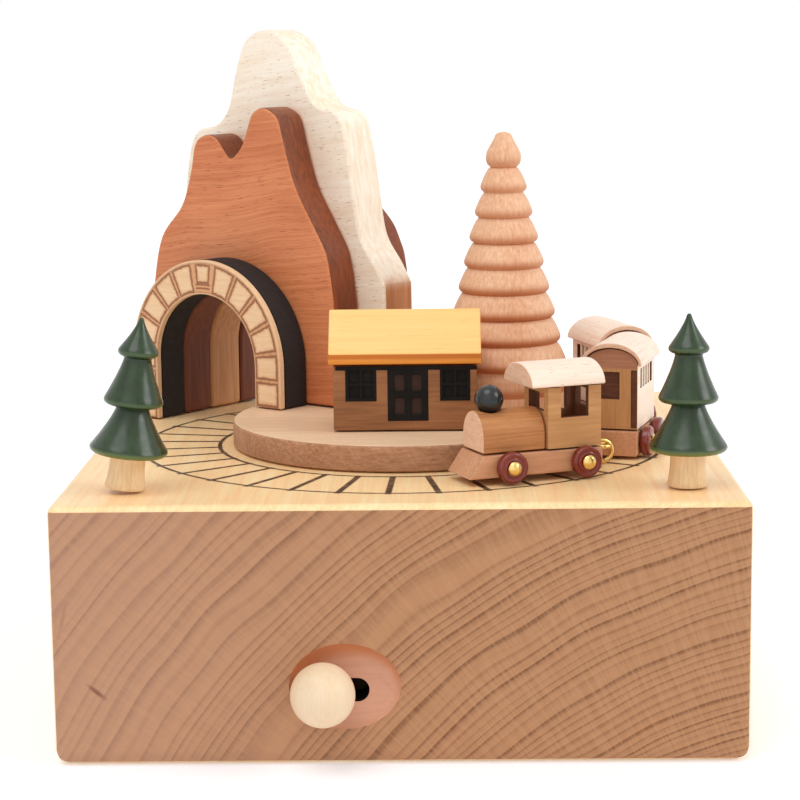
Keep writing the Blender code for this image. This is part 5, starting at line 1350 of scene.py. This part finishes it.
def make_tunnel(sizes):
    """The veneer facade, the black arch behind it and the three mountain layers."""
    left = ARCH_CENTRE - ARCH_INNER_R
    right = ARCH_CENTRE + ARCH_INNER_R
    ring = [(ARCH_CENTRE - ARCH_OUTER_R, SEAT_GAP)]
    ring += arc_points(ARCH_CENTRE, ARCH_SPRING, ARCH_OUTER_R, 180, 0, 61)
    ring += [(ARCH_CENTRE + ARCH_OUTER_R, ARCH_FOOT)] + arch_outline(left, right)
    facade = mesh_from(prism_shape(ring, -0.6, 0.6, 0.12, 1, 50), "tunnel_stones")
    add_piece("tunnel_stones", facade, tunnel_place(0, 1.2), ("facade_veneer",), "root",
              ("tunnel_facade",))
    black = mesh_from(prism_shape(ring, -2.85, 2.85, 0.25, 2, 50), "black_portal")
    add_piece("black_portal", black, tunnel_place(1.5, 5.7), ("black_stain",), "root",
              ("tunnel_arch",))
    rounding = sizes.layer_rounding / MM
    for node, (feet, peaks, widen, slot, front, thick) in LAYERS.items():
        outline = [(feet[0], SEAT_GAP)] + smooth_run(peaks) + [(feet[1], ARCH_FOOT)]
        outline += arch_outline(left, right + widen)
        mesh = mesh_from(prism_shape(outline, -thick / 2, thick / 2, rounding, 3, 50), node + "_layer")
        centre = ARCH_CENTRE + widen / 2
        reach = ARCH_INNER_R + widen / 2 + rounding + 0.1
        for face in mesh.polygons:
            at = face.center
            away = math.hypot(at.x - centre, max(at.y - ARCH_SPRING, 0.0))
            inside = away < reach and abs(face.normal.z) < 0.98
            face.material_index = 2 if inside else 0 if abs(face.normal.z) > 0.6 else 1
        look = [slot.replace("wood", part) for part in ("face", "side", "inside")]
        add_piece(node + "_layer", mesh, tunnel_place(front, thick), look, "root", (node,), 50)


def make_knob():
    """Ball knob, bored from behind for its wire."""
    middle = (KNOB_LOW + KNOB_HIGH) / 2
    radius = (KNOB_HIGH.x - KNOB_LOW.x) / 2
    bore = 1.5
    last = math.degrees(math.asin(bore / radius))
    profile = [(radius * math.sin(math.radians(a)), radius * math.cos(math.radians(a)))
               for a in [(180 - last) * i / 40 for i in range(41)]]
    profile[0] = (0, radius)
    profile += [(bore, 0), (0, 0)]
    place = RING @ Matrix.Translation(middle)
    mesh = mesh_from(moved(turned_shape(profile, 64), STAND_UP), "ball_knob")
    add_piece("ball_knob", mesh, place, ("knob_wood",), "stop_slider", ("knob_ball",))


def vehicle_place(vehicle):
    """A vehicle's frame: X forwards round the track, Y outwards, Z up from the box top."""
    angle, toe_in = VEHICLES[vehicle]
    return RING @ Matrix.Translation((TRACK_R * math.cos(angle), TRACK_R * math.sin(angle), BOX_TOP)) \
        @ Matrix.Rotation(angle - math.pi / 2 - toe_in, 4, "Z")


def axle_pins(vehicle):
    """Brass pins through the chassis, with a domed head outside each wheel."""
    head = WHEEL_INNER + WHEEL_THICK + 0.3
    profile = [(0, head + 0.62), (0.45, head + 0.58), (0.85, head + 0.42), (1.1, head + 0.2), (1.2, head),
               (0.6, head), (0.6, -head), (1.2, -head), (1.1, -head - 0.2), (0.85, -head - 0.42),
               (0.45, -head - 0.58), (0, -head - 0.62)]
    pins = []
    for x in AXLES[vehicle]:
        pin = turned_shape(profile, 28)
        pins.append(painted(moved(pin, Matrix.Translation((x, 0, WHEEL_AXIS_Z)) @ STAND_UP), 1))
    return pins


def make_chassis(vehicle, outline, magnet_x=None):
    """Chassis block drawn from the side, and its axle pins."""
    prism = prism_shape(outline, -CHASSIS_HALF_WIDTH, CHASSIS_HALF_WIDTH, 0.3, 2, 20)
    mesh = mesh_from(moved(prism, STAND_UP), f"{vehicle}_frame")
    if magnet_x is not None:
        pocket = moved(turned_shape([(0, 3.8), (2.6, 3.8), (2.6, 0.5), (0, 0.5)], 40),
                       Matrix.Translation((magnet_x, 0, 0)))
        mesh = cut_away(mesh, [mesh_from(pocket, "pocket")])
    mesh = gathered(f"{vehicle}_frame", [painted(shape_from(mesh), 0)] + axle_pins(vehicle))
    add_piece(f"{vehicle}_frame", mesh, vehicle_place(vehicle), ("chassis_wood", "brass"), vehicle,
              (f"{vehicle}_chassis",))


def make_locomotive():
    """Locomotive: wedge-nosed chassis, boiler, ball chimney, open cab and round-topped roof."""
    make_chassis("loco", [(-11.35, 1.2), (12.65, 1.2), (10.1, CHASSIS_TOP), (-11.35, CHASSIS_TOP)], -1.1)
    place = vehicle_place("loco")
    outline = [(-BOILER_R, BODY_FOOT), (BOILER_R, BODY_FOOT)]
    outline += arc_points(0, BODY_FOOT + BOILER_HEIGHT - BOILER_R, BOILER_R, 0, 180, 33)
    boiler = mesh_from(prism_shape(outline, -1.1, 10.0, 0.3, 2, 50), "boiler")
    hollow = moved(turned_shape(ball_profile(2.7), 40), Matrix.Translation((0, CHIMNEY_Z, CHIMNEY_X)))
    boiler = cut_away(boiler, [mesh_from(hollow, "hollow")])
    paint_by_normal(boiler, [(1, lambda n: abs(n.z) > 0.8)], 0)
    add_piece("boiler", boiler, place @ ACROSS, ("boiler_along", "boiler_end"), "loco",
              ("loco_boiler",))
    ball = mesh_from(turned_shape(ball_profile(2.4), 48), "chimney_ball")
    add_piece("chimney_ball", ball, place @ Matrix.Translation((CHIMNEY_X, 0, CHIMNEY_Z)),
              ("gloss_black",), "loco", ("loco_chimney_ball",))
    make_cab(place)
    arch = arc_points(0, 0, 5.6, 0, 180, 41, 3.6)
    roof = mesh_from(prism_shape(arch, -11.3, 1.9, 0.28, 3, 50), "cab_roof")
    paint_by_normal(roof, [(1, lambda n: abs(n.z) > 0.8)], 0)
    add_piece("cab_roof", roof, place @ Matrix.Translation((0, 0, CAB_ROOF_FOOT)) @ ACROSS,
              ("roof_along", "roof_end"), "loco", ("loco_cab_roof",))


def ball_profile(radius, count=25):
    """Half a circle from pole to pole."""
    return [(radius * math.sin(math.pi * i / (count - 1)) if 0 < i < count - 1 else 0,
             radius * math.cos(math.pi * i / (count - 1))) for i in range(count)]


def make_cab(place):
    """Thin plywood cab with open sides, charred edges where it was cut and a painted shade on its inner
    faces.
    """
    back, front, half, low, high = CAB_BACK, CAB_FRONT, CAB_HALF_WIDTH, BODY_FOOT, CAB_TOP
    mesh = mesh_from(block_shape((back, -half, low), (front, half, high)), "cab")
    cutters = [block_shape((back + 1, -half + 1, low + 1), (front - 1, half - 1, high + 1)),
               block_shape((back + 2.3, -half - 2, low + 5), (front - 2.3, half + 2, high + 1)),
               block_shape((back - 1, -half + 1.65, low + 6), (front + 1, half - 1.65, high - 1))]
    mesh = cut_away(mesh, [mesh_from(cutter, "opening") for cutter in cutters])
    for face in mesh.polygons:
        at = face.center
        from_side, from_back, from_front = half - abs(at.y), at.x - back, front - at.x
        on_wall = any(abs(gap) < 0.01 for gap in (from_side, from_back, from_front))
        inside = any(abs(gap - 1) < 0.01 for gap in (from_side, from_back, from_front, at.z - low))
        # Inner faces take the third finish, a darker copy of the plywood: a painted shade.
        face.material_index = 0 if on_wall else 2 if inside else 1
    add_piece("cab_walls", mesh, place, ("cab_ply", "charred_edge", "cab_inside"), "loco",
              ("loco_cab",))


def make_cars(sizes):
    """Two passenger cars: block bodies with barred windows, dark gables and thin arched roofs."""
    for car in CAR_NAMES:
        place = vehicle_place(car)
        make_chassis(car, [(-8, 0.6), (8, 0.6), (8, CHASSIS_TOP), (-8, CHASSIS_TOP)])
        half, end = CAR_HALF_WIDTH, CAR_HALF_LENGTH
        outline = [(-half, BODY_FOOT), (half, BODY_FOOT)]
        outline += arc_points(0, CAR_WALL_TOP, half, 0, 180, 31, 2.7)
        body = mesh_from(prism_shape(outline, -end, end), f"{car}_walls")
        cutters = []
        for side in (1, -1):
            beside, beyond = side * (half + 1), side * (end + 0.8)
            cutters.append(block_shape((side * (half - 0.6), 12.0, -4.9), (beside, 15.4, 4.9)))
            cutters.append(block_shape((-2.3, 10.3, side * (end - 0.6)), (1.4, 15.0, beyond)))
            cutters.append(block_shape((3.35, BODY_FOOT + 0.2, side * (end - 0.2)), (4.4, 15.4, beyond)))
        body = cut_away(body, [mesh_from(cutter, "opening") for cutter in cutters])
        for face in body.polygons:
            at = face.center
            on_side = abs(abs(at.x) - half) < 0.01
            on_end = abs(abs(at.z) - end) < 0.01
            face.material_index = 0 if on_side else 1 if on_end else 2
        add_piece(f"{car}_walls", body, place @ ACROSS, ("car_side", "car_end", "charred_edge"), car,
                  (f"{car}_body",))
        rows = []
        for side in (1, -1):
            line = grown("bars", "window_bars", count=sizes.window_bars, finish=finish("car_ply"),
                         spacing=9.8 / (sizes.window_bars + 1), bar_size=(0.7, 0.5, 3.4))
            line.transform(Matrix.Translation((0, side * 4.25, 13.7)))
            rows.append(line)
        bars = mesh_from(shape_from(*rows), "bars")
        add_piece(f"{car}_window_bars", bars, place, ("car_ply",), car)
        outer_arch = arc_points(0, 0, 5.3, 0, 180, 41, 3.8)
        inner_arch = arc_points(0, 0, 4.8, 180, 0, 41, 3.0)
        roof = mesh_from(prism_shape(outer_arch + inner_arch, -8, 8, 0.12, 1, 50), f"{car}_arched_roof")
        paint_by_normal(roof, [(1, lambda n: abs(n.z) > 0.6)], 0)
        add_piece(f"{car}_arched_roof", roof, place @ Matrix.Translation((0, 0, CAR_WALL_TOP)) @ ACROSS,
                  ("roof_along", "roof_end"), car, (f"{car}_roof",))


def make_wheels():
    """Twelve lacquered wheels, each free on its own pin."""
    thick = WHEEL_THICK
    corner = 0.45
    rim = WHEEL_R - corner
    profile = [(0.9, thick), (1.55, thick), (1.7, thick - 0.1), (rim - 0.1, thick - 0.02)]
    profile += arc_points(rim, thick - corner, corner, 0, 80, 6)[::-1]
    profile += arc_points(rim, corner, corner, -90, 0, 6)[::-1]
    profile += [(0.9, 0)]
    for vehicle, axles in AXLES.items():
        for end, x in zip(("front", "rear"), axles):
            for side, sign in (("outer", 1), ("inner", -1)):
                node = f"{vehicle}_wheel_{end}_{side}"
                place = vehicle_place(vehicle) @ Matrix.Translation((x, sign * WHEEL_INNER, WHEEL_AXIS_Z)) \
                    @ Matrix.Rotation(-sign * math.pi / 2, 4, "X")
                mesh = mesh_from(turned_shape(profile, 48, True), node)
                add_piece(f"{node}_red", mesh, place, ("wheel_lacquer",), node, (node,), 30)


def make_couplers():
    """A pair of linked brass eyes between each vehicle and the next."""
    links = [("loco", -11.35, "loco_rear_eye", "car_1", 8.0, "car_1_front_eye"),
             ("car_1", -8.0, "car_1_rear_eye", "car_2", 8.0, "car_2_front_eye")]
    to_ring = RING.inverted()
    for leading, rear, leading_eye, trailing, nose, trailing_eye in links:
        start = to_ring @ vehicle_place(leading) @ Vector((rear, 0, COUPLER_Z))
        finish_point = to_ring @ vehicle_place(trailing) @ Vector((nose, 0, COUPLER_Z))
        middle = (start + finish_point) / 2
        for vehicle, node, foot, upright in ((leading, leading_eye, start, True),
                                             (trailing, trailing_eye, finish_point, False)):
            along = middle - foot
            turns = [math.radians(180 + 330 * i / 40) for i in range(41)]
            if upright:
                centre = along.length + 0.9
                aside, beside = EYE_R * math.cos(EYE_TURN), EYE_R * math.sin(EYE_TURN)
                loop = [(centre + aside * math.cos(a), beside * math.cos(a), EYE_R * math.sin(a) - EYE_DROP)
                        for a in turns]
            else:
                centre = along.length - 0.9
                loop = [(centre + HOOK_R * math.cos(a), HOOK_R * math.sin(a), 0) for a in turns]
            points = [(0.3, 0, 0), (centre - 2.2, 0, 0)] + loop
            place = RING @ Matrix.Translation(foot) @ Matrix.Rotation(math.atan2(along.y, along.x), 4, "Z")
            add_piece(f"{node}_brass", wire_mesh(node, points, WIRE_R), place, ("brass",), vehicle,
                      (node,))


def wire_mesh(name, points, radius):
    """A round wire through the points, closed at its ends."""
    curve = bpy.data.curves.new(name, "CURVE")
    curve.dimensions = "3D"
    curve.bevel_depth = radius
    curve.bevel_resolution = 3
    curve.use_fill_caps = True
    spline = curve.splines.new("POLY")
    spline.points.add(len(points) - 1)
    for point, place in zip(spline.points, points):
        point.co = (*place, 1)
    shape = shape_from(harvested(linked(name, curve)))
    bmesh.ops.remove_doubles(shape, verts=shape.verts, dist=0.001)
    return mesh_from(shape, name)


# Finishes of the pieces that keep their CAD mesh
CARRIED_OVER = {
    "cover_board": ("bottom_cover",),
    "brass": ("cover_screw_1", "cover_screw_2", "cover_screw_3", "cover_screw_4", "spring_barrel"),
    "steel": ("stop_lever", "winding_key", "comb", "comb_screw_1", "comb_screw_2", "governor_fly",
              "movement_screw_1", "movement_screw_2"),
    "cast_metal": ("movement_bedplate",),
    "spring_steel": ("mainspring",),
    "arm_plastic": ("magnet_arm",),
    "magnet": ("drive_magnet", "train_magnet"),
}


def make_movement(sizes):
    """The cylinder with its tune pins, and finishes for the rest of the movement and the cover."""
    low, high = span("pinned_cylinder")
    middle = (low + high) / 2
    half, radius, soft = 8.4, 6.4, 0.2
    end = (high.y - low.y) / 2
    profile = [(0, end), (1, end), (1, half), (radius - soft, half), (radius, half - soft),
               (radius, -half + soft), (radius - soft, -half), (1, -half), (1, -end), (0, -end)]
    pin_shape = shape_from(grown("tune_pins", "tune_pins", pins=sizes.tune_pins, finish=finish("steel")))
    mesh = gathered("tune_cylinder", [painted(turned_shape(profile, 64), 0), painted(pin_shape, 1)])
    place = RING @ Matrix.Translation(middle) @ STAND_UP
    add_piece("tune_cylinder", mesh, place, ("brass", "steel"), "cylinder", ("pinned_cylinder",))
    for look, nodes in CARRIED_OVER.items():
        for node in nodes:
            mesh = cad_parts[node].data
            mesh.materials.clear()
            mesh.materials.append(finish(look))


def make_stage():
    """White floor and sky, soft light and the camera."""
    scene = bpy.context.scene
    scene.view_settings.view_transform = "Standard"
    shape = bmesh.new()
    bmesh.ops.create_grid(shape, x_segments=1, y_segments=1, size=6.0)
    floor = linked("floor", mesh_from(shape, "floor"))
    material, _, shader = new_finish("floor_white", 0.9, specular=0.0)
    shader.inputs["Base Color"].default_value = (0.88, 0.89, 0.92, 1.0)
    shader.inputs["Emission Color"].default_value = WHITE
    shader.inputs["Emission Strength"].default_value = 0.2
    floor.data.materials.append(material)
    world = bpy.data.worlds.new("white_room")
    scene.world = world
    world.use_nodes = True
    sky = Wiring(world.node_tree)
    background = world.node_tree.nodes["Background"]
    background.inputs["Color"].default_value = WHITE
    rays = sky.node("ShaderNodeLightPath").outputs
    seen = sky.larger(rays["Is Camera Ray"], rays["Is Transmission Ray"])
    seen = sky.larger(seen, rays["Is Glossy Ray"])
    sky.feed(background.inputs["Strength"], sky.step(seen, 0.0, 1.0, AMBIENT, 1.0, "LINEAR"))
    for name, energy, spread, aim in LAMPS:
        lamp = bpy.data.lights.new(name, "SUN")
        lamp.energy = energy
        lamp.angle = math.radians(spread)
        holder = linked(name, lamp)
        holder.rotation_euler = Vector(aim).to_track_quat("-Z", "Y").to_euler()
    camera = bpy.data.cameras.new("camera")
    camera.lens = CAMERA_LENS
    camera.sensor_width = 36.0
    camera.clip_start = 0.01
    place = Matrix.Translation(CAMERA_PLACE)
    for degrees, axis in ((CAMERA_TURN, "Z"), (90 - CAMERA_DROP, "X"), (CAMERA_ROLL, "Z")):
        place = place @ Matrix.Rotation(math.radians(degrees), 4, axis)
    scene.camera = linked("camera", camera)
    scene.camera.matrix_world = place


class MUSICBOX_OT_box(bpy.types.Operator):
    """Make the hollow wooden box with its dish and slot"""
    bl_idname = "music_box.box"
    bl_label = "Wooden Box"

    def execute(self, context):
        make_box(context.scene.music_box_sizes)
        return {"FINISHED"}


class MUSICBOX_OT_platform(bpy.types.Operator):
    """Make the round platform inside the track"""
    bl_idname = "music_box.platform"
    bl_label = "Round Platform"

    def execute(self, context):
        make_platform()
        return {"FINISHED"}


class MUSICBOX_OT_station(bpy.types.Operator):
    """Make the station's walls, joinery and roof"""
    bl_idname = "music_box.station"
    bl_label = "Station"

    def execute(self, context):
        make_station()
        return {"FINISHED"}


class MUSICBOX_OT_tall_tree(bpy.types.Operator):
    """Make the tall turned tree"""
    bl_idname = "music_box.tall_tree"
    bl_label = "Tall Tree"

    def execute(self, context):
        make_turned_tree(context.scene.music_box_sizes)
        return {"FINISHED"}


class MUSICBOX_OT_small_trees(bpy.types.Operator):
    """Make the two small green trees"""
    bl_idname = "music_box.small_trees"
    bl_label = "Small Trees"

    def execute(self, context):
        make_green_trees()
        return {"FINISHED"}


class MUSICBOX_OT_tunnel(bpy.types.Operator):
    """Make the tunnel's portal and the mountain layers"""
    bl_idname = "music_box.tunnel"
    bl_label = "Tunnel and Mountain"

    def execute(self, context):
        make_tunnel(context.scene.music_box_sizes)
        return {"FINISHED"}


class MUSICBOX_OT_knob(bpy.types.Operator):
    """Make the ball knob"""
    bl_idname = "music_box.knob"
    bl_label = "Ball Knob"

    def execute(self, context):
        make_knob()
        return {"FINISHED"}


class MUSICBOX_OT_locomotive(bpy.types.Operator):
    """Make the locomotive without its wheels"""
    bl_idname = "music_box.locomotive"
    bl_label = "Locomotive"

    def execute(self, context):
        make_locomotive()
        return {"FINISHED"}


class MUSICBOX_OT_cars(bpy.types.Operator):
    """Make the two passenger cars without their wheels"""
    bl_idname = "music_box.cars"
    bl_label = "Passenger Cars"

    def execute(self, context):
        make_cars(context.scene.music_box_sizes)
        return {"FINISHED"}


class MUSICBOX_OT_wheels(bpy.types.Operator):
    """Make the twelve wheels"""
    bl_idname = "music_box.wheels"
    bl_label = "Wheels"

    def execute(self, context):
        make_wheels()
        return {"FINISHED"}


class MUSICBOX_OT_couplers(bpy.types.Operator):
    """Make the brass eyes that link the train"""
    bl_idname = "music_box.couplers"
    bl_label = "Couplers"

    def execute(self, context):
        make_couplers()
        return {"FINISHED"}


class MUSICBOX_OT_movement(bpy.types.Operator):
    """Make the pinned cylinder and finish the movement, the cover and the key"""
    bl_idname = "music_box.movement"
    bl_label = "Movement"

    def execute(self, context):
        make_movement(context.scene.music_box_sizes)
        return {"FINISHED"}


class MUSICBOX_OT_stage(bpy.types.Operator):
    """Make the floor, the light and the camera"""
    bl_idname = "music_box.stage"
    bl_label = "Stage"

    def execute(self, context):
        make_stage()
        return {"FINISHED"}


OPERATORS = (MUSICBOX_OT_box, MUSICBOX_OT_platform, MUSICBOX_OT_station, MUSICBOX_OT_tall_tree,
             MUSICBOX_OT_small_trees, MUSICBOX_OT_tunnel, MUSICBOX_OT_knob, MUSICBOX_OT_locomotive,
             MUSICBOX_OT_cars, MUSICBOX_OT_wheels, MUSICBOX_OT_couplers, MUSICBOX_OT_movement,
             MUSICBOX_OT_stage)


class MUSICBOX_PT_pieces(bpy.types.Panel):
    """Lists the pieces, their sizes and their colours"""
    bl_idname = "MUSICBOX_PT_pieces"
    bl_label = "Music Box"
    bl_space_type = "VIEW_3D"
    bl_region_type = "UI"
    bl_category = "Music Box"

    def draw(self, context):
        layout = self.layout
        for settings in (context.scene.music_box_sizes, context.scene.music_box_colours):
            column = layout.column()
            for label in settings.__annotations__:
                column.prop(settings, label)
        for operator in OPERATORS:
            layout.operator(operator.bl_idname)


CLASSES = (MusicBoxSizes, MusicBoxColours, *OPERATORS, MUSICBOX_PT_pieces)


def register():
    """Register the classes and the settings."""
    for each in CLASSES:
        bpy.utils.register_class(each)
    bpy.types.Scene.music_box_sizes = PointerProperty(type=MusicBoxSizes)
    bpy.types.Scene.music_box_colours = PointerProperty(type=MusicBoxColours)


def unregister():
    """Remove the settings and the classes."""
    del bpy.types.Scene.music_box_colours
    del bpy.types.Scene.music_box_sizes
    for each in reversed(CLASSES):
        bpy.utils.unregister_class(each)


def main():
    """Register the settings and make every piece."""
    register()
    bpy.ops.music_box.box()
    bpy.ops.music_box.platform()
    bpy.ops.music_box.station()
    bpy.ops.music_box.tall_tree()
    bpy.ops.music_box.small_trees()
    bpy.ops.music_box.tunnel()
    bpy.ops.music_box.knob()
    bpy.ops.music_box.locomotive()
    bpy.ops.music_box.cars()
    bpy.ops.music_box.wheels()
    bpy.ops.music_box.couplers()
    bpy.ops.music_box.movement()
    bpy.ops.music_box.stage()


if __name__ == "__main__":
    main()
